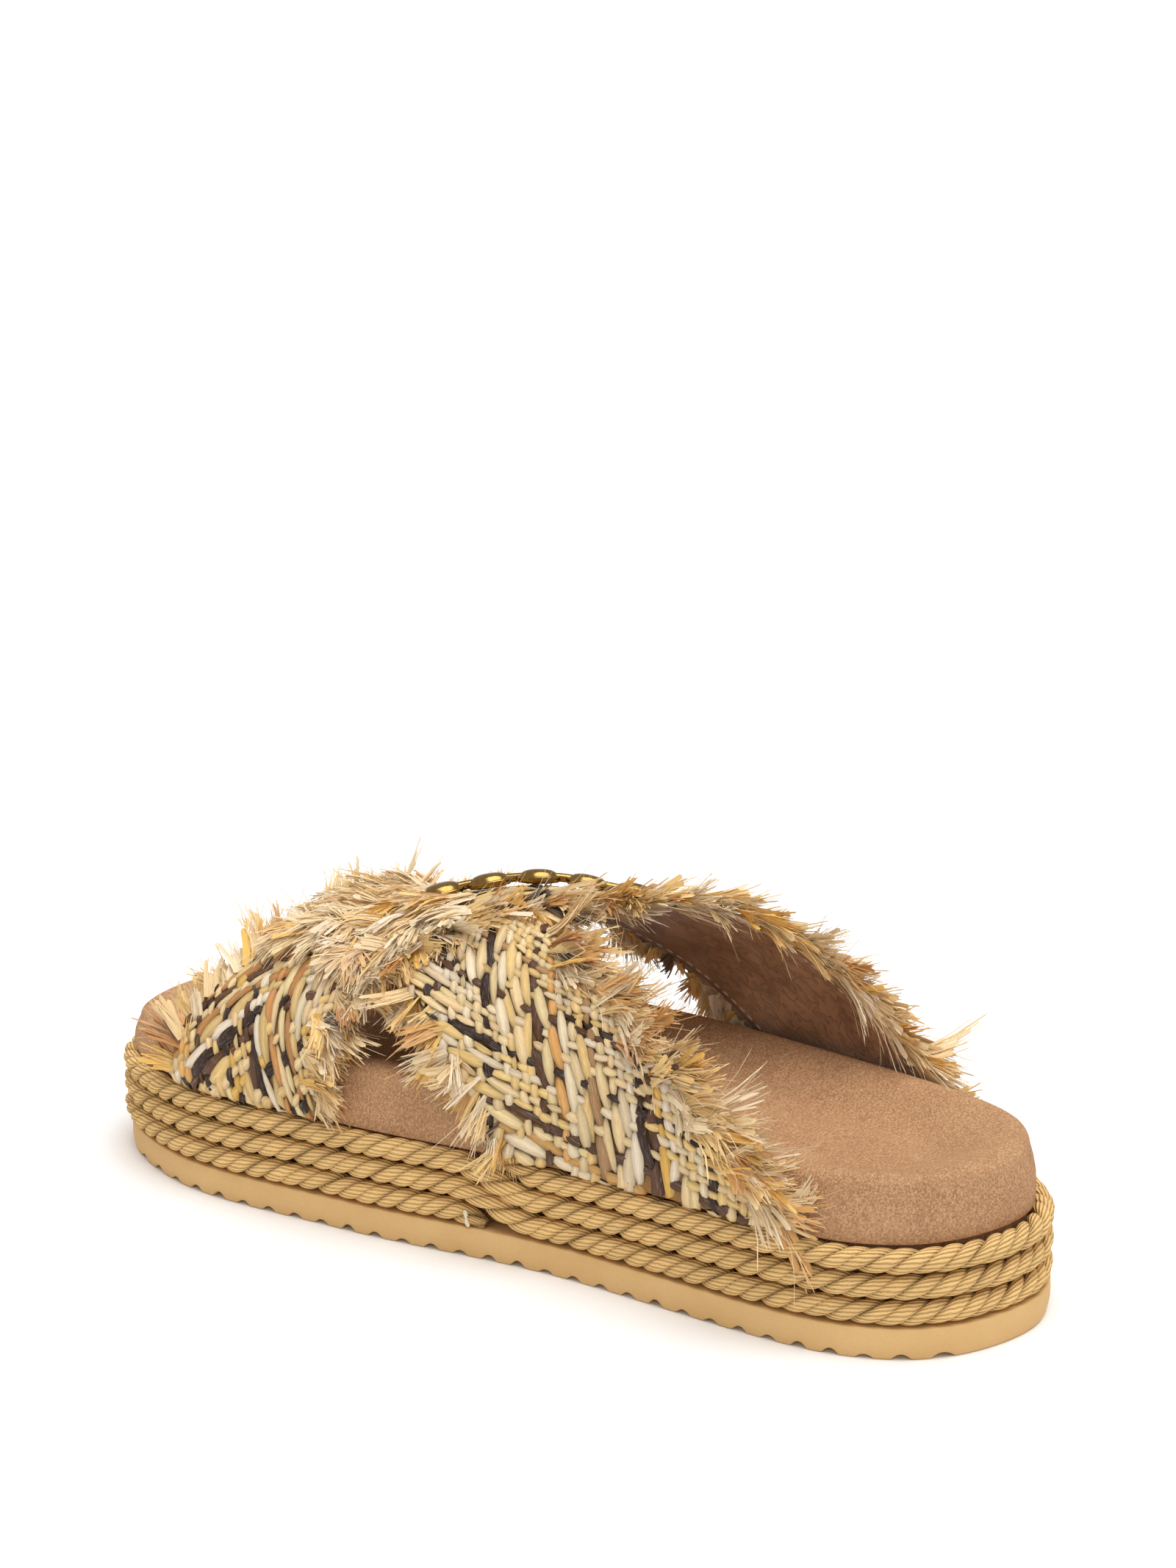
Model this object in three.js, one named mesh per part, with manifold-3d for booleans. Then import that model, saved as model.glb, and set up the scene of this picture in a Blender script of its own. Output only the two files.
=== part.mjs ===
// A slide sandal for the right foot: a flat foam outsole, a thick suede-covered footbed wrapped in three
// courses of one rope, and two raffia straps that cross over the instep, with frayed edges and a row of
// plain metal beads on the crossing.
// Millimetres, +Z up, +Y towards the toe. -X is the inner side of the foot, +X the outer side.
import * as THREE from "three";
import { mergeVertices } from "three/addons/utils/BufferGeometryUtils.js";
import Module from "manifold-3d";

const wasm = await Module();
wasm.setup();

// Driving sizes
const SOLE_LENGTH = 265;
const BALL_WIDTH = 86;
const OUTSOLE_THICKNESS = 8.3;
const OUTSOLE_DRAFT = 0.8;
const OUTSOLE_DRAFT_HEIGHT = 2.9;
const GROOVE_PITCH = 8.3;
const GROOVE_WIDTH = 4.4;
const GROOVE_DEPTH = 1.3;
const ROPE_DIAMETER = 6.4;
const ROPE_COURSES = 3;
const ROPE_STEP_LENGTH = 24;
const ROPE_START = 0.465;
const FOOTBED_RISE = 17;
const FOOTBED_DRAFT = 1.8;
const RIM_RADIUS = 3;
const DISH_LIMIT = 0.17;
const DISH_WIDTH = 0.6;
const STRAP_WALL = 2.6;
const STRAP_WIDTH = 55;
const STRAP_TAIL = 4.5;
const INSTEP_RISE = 55;
const ARCH_ROUNDNESS = 2.1;
const STRIP_RELIEF = 0.6;
const STRIP_PITCH = 4.2;
const CHEVRON_DEPTH = 7;
const FRINGE_LENGTH = 11;
const FRINGE_STUB = 1.5;
const TAIL_STUB = 0.1;
const FRINGE_THICKNESS = 1;
const FRINGE_LIFT = 25;
const BEADS = 5;
const BEADS_ALONG = 0.615;
const BEAD_LENGTH = 12.5;
const BEAD_WIDTH = 9;
const BEAD_HEIGHT = 4;
const BEAD_BAR = 2.4;
const CROSSING_LIFT = 2.1;
const GAP = 0.3;

// How finely the curved forms are cut into flat faces
const FACE_TURN = 7;
const FACE_LENGTH = 14;
const ROPE_SIDES = 8;
const ACROSS_STRAP = 8;
const BEND_DEGREES = [30, 60, 90];
const DISH_RINGS = [0.14, 0.3, 0.52, 0.78];

// Heights that follow from the sizes
const ROPE_PITCH = ROPE_DIAMETER + GAP;
const ROPE_BASE = OUTSOLE_THICKNESS + GAP;
const ROPE_TOP = ROPE_BASE + (ROPE_COURSES - 1) * ROPE_PITCH + ROPE_DIAMETER;
const STRAP_BEND = STRAP_WALL / 2 + GAP;
const STRAP_BASE = ROPE_TOP + GAP + STRAP_WALL / 2 + STRAP_BEND;

// The outsole's outline, from the back of the heel round the inner side to the toe and back.
// side: share of the ball width. along: share of the length. bench: how far the footbed stands inside
// the outsole's edge there, and rope: how far the rope stands outside it, as shares of its diameter.
const OUTLINE = [
  { side: 0.017, along: 0.0, bench: 0.67, rope: 0.08 },
  { side: -0.302, along: 0.04, bench: 0.62, rope: 0.08 },
  { side: -0.457, along: 0.128, bench: 0.45, rope: 0.12 },
  { side: -0.413, along: 0.46, bench: 0.3, rope: 0.16 },
  { side: -0.451, along: 0.679, bench: 0.34, rope: 0.16 },
  { side: -0.409, along: 0.891, bench: 0.38, rope: 0.25 },
  { side: -0.163, along: 1.0, bench: 0.2, rope: 0.31 },
  { side: 0.291, along: 0.977, bench: 0.35, rope: 0.25 },
  { side: 0.541, along: 0.664, bench: 0.75, rope: 0.16 },
  { side: 0.506, along: 0.46, bench: 0.85, rope: 0.16 },
  { side: 0.453, along: 0.177, bench: 0.8, rope: 0.12 },
  { side: 0.291, along: 0.041, bench: 0.7, rope: 0.08 },
];

// The footbed along the sandal. along: share of the sole's length. inner and outer: the rim's height on
// each side, and bed: the height of the dished middle, as shares of the footbed's rise over the rope.
const FOOTBED = [
  { along: 0.0, inner: 1.0, outer: 1.0, bed: 0.78 },
  { along: 0.18, inner: 1.0, outer: 1.02, bed: 0.6 },
  { along: 0.45, inner: 1.14, outer: 1.2, bed: 0.86 },
  { along: 0.65, inner: 1.0, outer: 1.05, bed: 0.7 },
  { along: 0.85, inner: 0.8, outer: 0.8, bed: 0.5 },
  { along: 1.0, inner: 0.64, outer: 0.64, bed: 0.46 },
];

// The arch over the foot that the straps lie on. rise: height of the arch over the straps' base, as a
// share of the instep's rise.
const ARCH = [
  { along: 0.1, rise: 1.0 },
  { along: 0.34, rise: 1.06 },
  { along: 0.53, rise: 0.93 },
  { along: 0.72, rise: 0.76 },
  { along: 0.92, rise: 0.36 },
];

// Each strap from its inner to its outer end. angle: degrees round the arch, 0 at the inner side.
// along: share of the sole's length. front and rear are the strap's two edges.
const OVER_STRAP = [
  { frontAngle: 0, frontAlong: 0.89, rearAngle: 0, rearAlong: 0.71 },
  { frontAngle: 50, frontAlong: 0.86, rearAngle: 32, rearAlong: 0.7 },
  { frontAngle: 104, frontAlong: 0.72, rearAngle: 66, rearAlong: 0.62 },
  { frontAngle: 138, frontAlong: 0.5, rearAngle: 112, rearAlong: 0.375 },
  { frontAngle: 180, frontAlong: 0.33, rearAngle: 180, rearAlong: 0.13 },
];
const UNDER_STRAP = [
  { frontAngle: 0, frontAlong: 0.49, rearAngle: 0, rearAlong: 0.19 },
  { frontAngle: 44, frontAlong: 0.62, rearAngle: 62, rearAlong: 0.47 },
  { frontAngle: 78, frontAlong: 0.69, rearAngle: 102, rearAlong: 0.56 },
  { frontAngle: 122, frontAlong: 0.8, rearAngle: 138, rearAlong: 0.62 },
  { frontAngle: 180, frontAlong: 0.87, rearAngle: 180, rearAlong: 0.66 },
];

// Shares of a strap's length: where the upper strap rises onto the lower one, where the fringe begins,
// and the part of each strap that has no fringe because the other one covers it
const LIFT_FROM = 0.08;
const LIFT_TO = 0.28;
const FRINGE_FROM = 0.05;
const OVER_COVERED = { from: 1, to: 0 };
const UNDER_COVERED = { from: 0.3, to: 0.74 };

// Value of one column of a table at a share of the length, smoothly between its rows
function column(table, name, along) {
  const last = table.length - 1;
  let row = 0;
  while (row < last - 1 && along > table[row + 1].along) row += 1;
  const a = table[row];
  const b = table[row + 1];
  const share = THREE.MathUtils.clamp((along - a.along) / (b.along - a.along), 0, 1);
  return THREE.MathUtils.lerp(a[name], b[name], share * share * (3 - 2 * share));
}

// A closed solid from rings of points that each hold the same number, with both ends capped
function loft(rings, cap) {
  const size = rings[0].length;
  const positions = rings.flat().flatMap((p) => [p.x, p.y, p.z]);
  const index = [];
  for (let r = 0; r < rings.length - 1; r += 1) {
    for (let i = 0; i < size; i += 1) {
      const a = r * size + i;
      const b = r * size + ((i + 1) % size);
      index.push(a, b, b + size, a, b + size, a + size);
    }
  }
  for (const start of [0, (rings.length - 1) * size]) {
    for (const [a, b, c] of cap(rings[start / size])) {
      if (start === 0) index.push(start + a, start + c, start + b);
      else index.push(start + a, start + b, start + c);
    }
  }
  return solidOf(positions, index);
}

// Triangles over a small convex ring
function fan(ring) {
  return ring.slice(2).map((p, i) => [0, i + 1, i + 2]);
}

// Triangles over a ring that runs up one side of the sandal and down the other, joined straight across
function ladder(ring) {
  const size = ring.length;
  const toe = ring.reduce((best, p, i) => (p.y > ring[best].y ? i : best), 0);
  const faces = [];
  let up = 0;
  let down = size;
  while (down - up > 1) {
    const above = up < toe ? ring[up + 1].y : Infinity;
    const beside = down > toe ? ring[down - 1].y : Infinity;
    if (above <= beside) {
      if (down % size !== up) faces.push([up, up + 1, down % size]);
      up += 1;
    } else {
      if (down % size !== up) faces.push([up, down - 1, down % size]);
      down -= 1;
    }
  }
  return faces;
}

// Triangles over the ring of a wall: its outer face one way, then its inner face back
function wallEnd(ring) {
  const faces = [];
  const last = ring.length - 1;
  for (let j = 0; j < last / 2 - 1; j += 1) {
    faces.push([j, j + 1, last - j - 1], [j, last - j - 1, last - j]);
  }
  return faces;
}

// A manifold solid from positions and faces, turned so that its faces point out
function solidOf(positions, index) {
  const geometry = new THREE.BufferGeometry();
  geometry.setAttribute("position", new THREE.Float32BufferAttribute(positions, 3));
  geometry.setIndex(index);
  return solidFrom(geometry);
}

function solidFrom(geometry) {
  const bare = geometry.clone();
  bare.deleteAttribute("normal");
  bare.deleteAttribute("uv");
  const merged = mergeVertices(bare, 1e-4);
  const make = (triVerts) =>
    new wasm.Manifold(
      new wasm.Mesh({ numProp: 3, vertProperties: merged.attributes.position.array, triVerts }),
    );
  const faces = Uint32Array.from(merged.index.array);
  const solid = make(faces);
  if (solid.volume() > 0) return solid;
  for (let i = 0; i < faces.length; i += 3) [faces[i + 1], faces[i + 2]] = [faces[i + 2], faces[i + 1]];
  return make(faces);
}

// A named mesh from a manifold solid
function meshOf(name, solid, color, roughness, metalness = 0) {
  const { vertProperties, triVerts } = solid.getMesh();
  const geometry = new THREE.BufferGeometry();
  geometry.setAttribute("position", new THREE.BufferAttribute(Float32Array.from(vertProperties), 3));
  geometry.setIndex(new THREE.BufferAttribute(Uint32Array.from(triVerts), 1));
  geometry.computeVertexNormals();
  const material = new THREE.MeshStandardMaterial({ color, roughness, metalness });
  const mesh = new THREE.Mesh(geometry, material);
  mesh.name = name;
  return mesh;
}

// Shares of a closed curve's length at which its faces meet: close together where it turns sharply
function faceShares(curve) {
  const fine = 900;
  const length = curve.getLength();
  const shares = [0];
  let last = curve.getTangentAt(0);
  for (let i = 1; i < fine; i += 1) {
    const share = i / fine;
    const tangent = curve.getTangentAt(share);
    const turned = THREE.MathUtils.radToDeg(tangent.angleTo(last));
    const left = (share - shares[shares.length - 1]) * length;
    if (turned < FACE_TURN && left < FACE_LENGTH) continue;
    if ((1 - share) * length < FACE_LENGTH / 3) break;
    shares.push(share);
    last = tangent;
  }
  return shares;
}

// The outsole's edge: points round it, each with its outward normal, its bench and how proud the rope is
const edge = (() => {
  const flat = (row) => new THREE.Vector3(row.side * BALL_WIDTH, row.along * SOLE_LENGTH, 0);
  const curve = new THREE.CatmullRomCurve3(OUTLINE.map(flat), true, "centripetal");
  return faceShares(curve).map((share) => {
    const p = curve.getPointAt(share);
    const tangent = curve.getTangentAt(share);
    const place = curve.getUtoTmapping(share) * OUTLINE.length;
    const row = OUTLINE[Math.floor(place)];
    const next = OUTLINE[Math.ceil(place) % OUTLINE.length];
    const bench = THREE.MathUtils.lerp(row.bench, next.bench, place % 1) * ROPE_DIAMETER;
    const proud = THREE.MathUtils.lerp(row.rope, next.rope, place % 1) * ROPE_DIAMETER;
    return { x: p.x, y: p.y, bench, proud, outX: -tangent.y, outY: tangent.x };
  });
})();

// A ring that stands a distance outside the outsole's edge. out and height take an edge point.
function ringAt(out, height) {
  return edge.map((p) => {
    const d = out(p);
    return new THREE.Vector3(p.x + p.outX * d, p.y + p.outY * d, height(p));
  });
}

// Height of the footbed's rim above the floor beside an edge point
function rimHeight(p) {
  const along = p.y / SOLE_LENGTH;
  const inner = column(FOOTBED, "inner", along);
  const outer = column(FOOTBED, "outer", along);
  const across = THREE.MathUtils.smoothstep(p.x, -BALL_WIDTH / 2, BALL_WIDTH / 2);
  return ROPE_TOP + FOOTBED_RISE * THREE.MathUtils.lerp(inner, outer, across);
}

// x of the footbed's side at a distance along the sandal, on the inner (-1) or outer (1) side
function footbedSide(y, side) {
  let best = null;
  edge.forEach((p, i) => {
    const q = edge[(i + 1) % edge.length];
    const a = { x: p.x - p.outX * p.bench, y: p.y - p.outY * p.bench };
    const b = { x: q.x - q.outX * q.bench, y: q.y - q.outY * q.bench };
    if ((a.y - y) * (b.y - y) > 0 || a.y === b.y) return;
    const x = a.x + ((b.x - a.x) * (y - a.y)) / (b.y - a.y);
    if (best === null || x * side > best * side) best = x;
  });
  return best;
}

// Foam outsole with ripple grooves across its underside
function makeOutsole() {
  const sides = [
    ringAt(() => -OUTSOLE_DRAFT, () => 0),
    ringAt(() => 0, () => OUTSOLE_DRAFT_HEIGHT),
    ringAt(() => 0, () => OUTSOLE_THICKNESS),
  ];
  const grooves = [];
  const count = Math.floor(SOLE_LENGTH / GROOVE_PITCH) - 1;
  for (let i = 0; i < count; i += 1) {
    const y = (SOLE_LENGTH - (count - 1) * GROOVE_PITCH) / 2 + i * GROOVE_PITCH;
    const shape = new THREE.Shape();
    shape.moveTo(-GROOVE_WIDTH / 2, -GROOVE_DEPTH);
    shape.lineTo(-GROOVE_WIDTH / 2, 0);
    shape.quadraticCurveTo(0, 2 * GROOVE_DEPTH, GROOVE_WIDTH / 2, 0);
    shape.lineTo(GROOVE_WIDTH / 2, -GROOVE_DEPTH);
    const bar = new THREE.ExtrudeGeometry(shape, {
      depth: 2 * BALL_WIDTH,
      bevelEnabled: false,
      curveSegments: 4,
    });
    bar.rotateX(Math.PI / 2);
    bar.rotateZ(Math.PI / 2);
    bar.translate(-BALL_WIDTH, y, 0);
    grooves.push(solidFrom(bar));
  }
  return loft(sides, ladder).subtract(wasm.Manifold.union(grooves));
}

// Solid of the rope's three courses. It starts at the top on the inner side, winds back round the heel,
// and steps down one course each time it passes the waist.
function makeRope() {
  const start = edge.reduce((best, p, i) => {
    const off = (q) => Math.abs(q.y - SOLE_LENGTH * ROPE_START) + (q.x > 0 ? SOLE_LENGTH : 0);
    return off(p) < off(edge[best]) ? i : best;
  }, 0);
  const radius = ROPE_DIAMETER / 2;
  const line = edge.map((p) => ({
    x: p.x + p.outX * (p.proud - radius),
    y: p.y + p.outY * (p.proud - radius),
  }));
  const turned = [...line.slice(start), ...line.slice(0, start)].reverse();
  const loop = new THREE.CatmullRomCurve3(
    turned.map((p) => new THREE.Vector3(p.x, p.y, 0)),
    true,
    "centripetal",
  );
  const length = loop.getLength();
  const stepsDown = (at) => {
    const turn = Math.floor(at / length);
    const left = length - (at - turn * length);
    return turn + THREE.MathUtils.smoothstep(ROPE_STEP_LENGTH - left, 0, ROPE_STEP_LENGTH);
  };
  const end = ROPE_COURSES * length - ROPE_STEP_LENGTH - ROPE_DIAMETER / 2;
  const places = [];
  for (let turn = 0; turn < ROPE_COURSES; turn += 1) {
    places.push(...faceShares(loop).map((share) => (turn + share) * length));
  }
  const rings = [];
  for (const at of [...places.filter((place) => place < end - ROPE_DIAMETER), end]) {
    const share = (at / length) % 1;
    const centre = loop.getPointAt(share);
    const tangent = loop.getTangentAt(share);
    const out = new THREE.Vector3(tangent.y, -tangent.x, 0).normalize();
    centre.z = ROPE_TOP - radius - Math.min(stepsDown(at), ROPE_COURSES - 1) * ROPE_PITCH;
    const ring = [];
    for (let s = 0; s < ROPE_SIDES; s += 1) {
      const angle = ((s + 0.5) / ROPE_SIDES) * 2 * Math.PI;
      const reach = radius / Math.cos(Math.PI / ROPE_SIDES);
      const point = centre.clone().addScaledVector(out, reach * Math.cos(angle));
      point.z += reach * Math.sin(angle);
      ring.push(point);
    }
    rings.push(ring);
  }
  return loft(rings, fan);
}

// Suede-covered footbed: a core that the rope is wound on, and above it the visible side, the rounded
// rim and the dished bed
function makeFootbed() {
  const core = (p) => p.proud - ROPE_DIAMETER - GAP;
  const underside = ROPE_TOP + GAP;
  const inset = (distance) => (p) => -p.bench - distance;
  const rings = [
    ringAt(core, () => OUTSOLE_THICKNESS + GAP),
    ringAt(core, () => underside),
    ringAt(inset(0), () => underside),
    ringAt(inset(FOOTBED_DRAFT), (p) => rimHeight(p) - RIM_RADIUS),
  ];
  for (const degrees of BEND_DEGREES) {
    const turn = THREE.MathUtils.degToRad(degrees);
    rings.push(
      ringAt(
        inset(FOOTBED_DRAFT + RIM_RADIUS * (1 - Math.cos(turn))),
        (p) => rimHeight(p) - RIM_RADIUS * (1 - Math.sin(turn)),
      ),
    );
  }
  const rim = rings[rings.length - 1];
  const spineY = (y) =>
    THREE.MathUtils.clamp(y, DISH_LIMIT * SOLE_LENGTH, (1 - DISH_LIMIT) * SOLE_LENGTH);
  for (const share of DISH_RINGS) {
    rings.push(
      rim.map((p) => {
        const middleY = spineY(p.y);
        const middleX = (footbedSide(middleY, -1) + footbedSide(middleY, 1)) / 2;
        const x = THREE.MathUtils.lerp(p.x, middleX, share);
        const y = THREE.MathUtils.lerp(p.y, middleY, share);
        const bed = ROPE_TOP + FOOTBED_RISE * column(FOOTBED, "bed", y / SOLE_LENGTH);
        const dish = THREE.MathUtils.smoothstep(share, 0, DISH_WIDTH);
        return new THREE.Vector3(x, y, THREE.MathUtils.lerp(p.z, bed, dish));
      }),
    );
  }
  return loft(rings, ladder);
}

// A point of the arch over the foot, on the middle of the straps' wall
function archPoint(y, degrees) {
  const low = footbedSide(y, -1);
  const high = footbedSide(y, 1);
  const half = (high - low) / 2 + GAP + STRAP_WALL / 2;
  const angle = THREE.MathUtils.degToRad(degrees);
  const power = 2 / ARCH_ROUNDNESS;
  const sideways = Math.sign(Math.cos(angle)) * Math.abs(Math.cos(angle)) ** power;
  const rise = INSTEP_RISE * column(ARCH, "rise", y / SOLE_LENGTH);
  return new THREE.Vector3(
    (low + high) / 2 - half * sideways,
    y,
    STRAP_BASE + rise * Math.max(Math.sin(angle), 0) ** power,
  );
}

// A strap's own coordinates: t runs from its inner to its outer end, v from its rear to its front edge
function makeStrapSurface(rows, lift) {
  const edgeCurve = (angle, along) =>
    new THREE.CatmullRomCurve3(
      rows.map((row) => new THREE.Vector3(row[angle], row[along] * SOLE_LENGTH, 0)),
      false,
      "centripetal",
    );
  const front = edgeCurve("frontAngle", "frontAlong");
  const rear = edgeCurve("rearAngle", "rearAlong");
  const bare = (t, v) => {
    const place = rear.getPoint(t).lerp(front.getPoint(t), v);
    return archPoint(place.y, THREE.MathUtils.clamp(place.x, 0, 180));
  };
  const normal = (t, v) => {
    const step = 0.01;
    const t0 = THREE.MathUtils.clamp(t, step, 1 - step);
    const v0 = THREE.MathUtils.clamp(v, step, 1 - step);
    const along = bare(t0 + step, v0).sub(bare(t0 - step, v0));
    const across = bare(t0, v0 + step).sub(bare(t0, v0 - step));
    return across.cross(along).normalize().multiplyScalar(-1);
  };
  const raise = (t) => lift * THREE.MathUtils.smoothstep(Math.min(t, 1 - t), LIFT_FROM, LIFT_TO);
  const at = (t, v, height) => bare(t, v).addScaledVector(normal(t, v), height + raise(t));
  return { at, bare };
}

// The tail at a strap's end, which bends in under the footbed: how far each ring lies down and in from
// the strap's base, and which way its outer face looks
const TAIL = BEND_DEGREES.map((degrees) => {
  const turn = THREE.MathUtils.degToRad(degrees);
  return {
    down: STRAP_BEND * Math.sin(turn),
    inward: STRAP_BEND * (1 - Math.cos(turn)),
    faceOut: Math.cos(turn),
    faceDown: Math.sin(turn),
  };
});
const TAIL_END = { ...TAIL[TAIL.length - 1], inward: STRAP_BEND + STRAP_TAIL };

// Length of a strap along its middle
function strapLength(surface) {
  const steps = 40;
  let length = 0;
  for (let i = 0; i < steps; i += 1) {
    length += surface.bare(i / steps, 0.5).distanceTo(surface.bare((i + 1) / steps, 0.5));
  }
  return length;
}

// One strap as a solid wall. Its woven strips are raised in chevrons, and every second strip runs out
// past both edges as a lock of the fringe. hidden: the part of the strap, by t, that has no fringe.
function makeStrap(surface, clearance, hidden) {
  const half = STRAP_WALL / 2 + clearance;
  const wide = clearance / STRAP_WIDTH;
  const length = strapLength(surface);
  const count = Math.round(length / STRIP_PITCH);
  const across = (j) => {
    if (j === 0) return -wide;
    return j === ACROSS_STRAP ? 1 + wide : j / ACROSS_STRAP;
  };
  const lockLength = (i, turn) => {
    const t = i / count;
    const covered = t > hidden.from && t < hidden.to;
    if (i % 2 === 1 || covered || Math.min(t, 1 - t) < FRINGE_FROM) return FRINGE_STUB;
    return FRINGE_LENGTH * (1 + 0.2 * Math.sin(i * 2.4 + turn) + 0.1 * Math.sin(i * 5.1));
  };
  const lock = (point, v, inside, reach) => {
    const root = point(v, 0);
    const away = root.clone().sub(point(inside, 0)).normalize();
    const normal = point(v, 1).sub(root).normalize();
    const lift = THREE.MathUtils.degToRad(reach > FRINGE_STUB ? FRINGE_LIFT : 0);
    const tip = root.addScaledVector(away, reach * Math.cos(lift));
    tip.addScaledVector(normal, reach * Math.sin(lift));
    const thin = normal.multiplyScalar(FRINGE_THICKNESS / 2);
    return [tip.clone().add(thin), tip.clone().sub(thin)];
  };
  const section = (point, relief, frontReach, rearReach) => {
    const front = clearance > 0 ? [] : lock(point, 1, 0.95, frontReach);
    const rear = clearance > 0 ? [] : lock(point, 0, 0.05, rearReach);
    const outer = [];
    const inner = [];
    for (let j = 0; j <= ACROSS_STRAP; j += 1) {
      const inset = j === 0 || j === ACROSS_STRAP ? 0 : relief;
      outer.push(point(across(j), half + inset));
      inner.unshift(point(across(j), -half));
    }
    return [...rear.slice(0, 1), ...outer, ...front, ...inner, ...rear.slice(1)];
  };
  const tailRings = (t, side) =>
    [...TAIL, { ...TAIL_END, inward: TAIL_END.inward + clearance }].map((tail) =>
      section(
        (v, height) => {
          const base = surface.bare(t, v);
          base.x += side * (tail.faceOut * height - tail.inward);
          base.z -= tail.down + tail.faceDown * height;
          return base;
        },
        0,
        TAIL_STUB,
        TAIL_STUB,
      ),
    );
  const rings = tailRings(0, -1).reverse();
  for (let i = 0; i <= count; i += 1) {
    const t = i / count;
    const fade = Math.min(1, 6 * t, 6 * (1 - t));
    const chevron = (v) => {
      const zigzag = Math.abs(((v * 2 + 0.5) % 1) - 0.5) * 2;
      return ((zigzag - 0.5) * CHEVRON_DEPTH * fade) / length;
    };
    const raised = clearance === 0 && i % 2 === 0 && i > 1 && i < count - 1;
    const place = (v, height) =>
      surface.at(THREE.MathUtils.clamp(t + chevron(v), 0, 1), v, height);
    rings.push(section(place, raised ? STRIP_RELIEF : 0, lockLength(i, 0), lockLength(i, 1.7)));
  }
  rings.push(...tailRings(1, 1));
  return loft(rings, wallEnd);
}

// A row of plain domed beads on a slim bar, along the middle of the upper strap
function makeOrnament(over) {
  const pitch = BEAD_LENGTH / strapLength(over);
  const height = STRAP_WALL / 2 + STRIP_RELIEF + GAP + BEAD_HEIGHT / 2;
  const pieces = [];
  const place = (t) => {
    const centre = over.at(t, 0.5, height);
    const along = over.at(t + 0.01, 0.5, height).sub(over.at(t - 0.01, 0.5, height)).normalize();
    const up = over.at(t, 0.5, height + 1).sub(centre).normalize();
    const across = new THREE.Vector3().crossVectors(up, along).normalize();
    const outward = new THREE.Vector3().crossVectors(along, across);
    return new THREE.Matrix4().makeBasis(along, across, outward).setPosition(centre);
  };
  for (let i = 0; i < BEADS; i += 1) {
    const t = BEADS_ALONG + (i - (BEADS - 1) / 2) * pitch;
    const bead = new THREE.SphereGeometry(0.5, 12, 6);
    bead.scale(BEAD_LENGTH * 0.98, BEAD_WIDTH, BEAD_HEIGHT);
    bead.applyMatrix4(place(t));
    pieces.push(solidFrom(bead));
    if (i === 0) continue;
    const link = new THREE.BoxGeometry(BEAD_LENGTH, BEAD_BAR, BEAD_BAR);
    link.applyMatrix4(place(t - pitch / 2));
    pieces.push(solidFrom(link));
  }
  return wasm.Manifold.union(pieces);
}

const over = makeStrapSurface(OVER_STRAP, CROSSING_LIFT);
const under = makeStrapSurface(UNDER_STRAP, 0);
const upper = makeStrap(over, 0, OVER_COVERED).add(makeStrap(under, 0, UNDER_COVERED));
const recesses = makeStrap(over, GAP, OVER_COVERED).add(makeStrap(under, GAP, UNDER_COVERED));

const sandal = new THREE.Group();
sandal.add(meshOf("outsole", makeOutsole(), 0xd9b87a, 0.85));
sandal.add(meshOf("footbed", makeFootbed().subtract(recesses), 0xab8462, 0.95));
sandal.add(meshOf("rope_wrap", makeRope(), 0xbd9c5c, 0.9));
sandal.add(meshOf("upper", upper, 0xe3c98c, 0.8));
sandal.add(meshOf("ornament", makeOrnament(over), 0xc9a75a, 0.25, 1));

// The origin is on the floor under the middle of the whole sandal
const box = new THREE.Box3().setFromObject(sandal);
sandal.position.set(-(box.min.x + box.max.x) / 2, -(box.min.y + box.max.y) / 2, 0);

export default sandal;
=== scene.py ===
import math

import bpy
import numpy as np
from mathutils import Matrix, Vector


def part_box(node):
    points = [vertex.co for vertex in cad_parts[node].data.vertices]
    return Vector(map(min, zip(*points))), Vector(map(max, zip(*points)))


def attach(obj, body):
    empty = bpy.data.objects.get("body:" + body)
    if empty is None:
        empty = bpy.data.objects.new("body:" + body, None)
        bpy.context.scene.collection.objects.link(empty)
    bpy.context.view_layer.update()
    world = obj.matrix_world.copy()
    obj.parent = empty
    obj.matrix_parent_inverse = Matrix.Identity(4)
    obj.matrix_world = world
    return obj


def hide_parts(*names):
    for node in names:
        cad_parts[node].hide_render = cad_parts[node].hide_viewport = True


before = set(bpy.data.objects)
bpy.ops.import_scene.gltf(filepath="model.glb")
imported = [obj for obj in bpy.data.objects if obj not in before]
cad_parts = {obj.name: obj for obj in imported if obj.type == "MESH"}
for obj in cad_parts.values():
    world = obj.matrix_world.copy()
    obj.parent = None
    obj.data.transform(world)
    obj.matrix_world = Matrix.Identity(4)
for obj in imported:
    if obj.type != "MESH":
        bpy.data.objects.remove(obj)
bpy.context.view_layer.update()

# A slide sandal for the right foot: foam outsole, suede footbed wrapped in three courses of rope, and two
# woven raffia straps with frayed edges that cross over the instep. Sizes are in millimetres, in the
# part's frame: +Y to the toe, +X to the outer side. They turn into metres where a mesh is made.
MM = 0.001
rng = np.random.default_rng(23)

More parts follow.
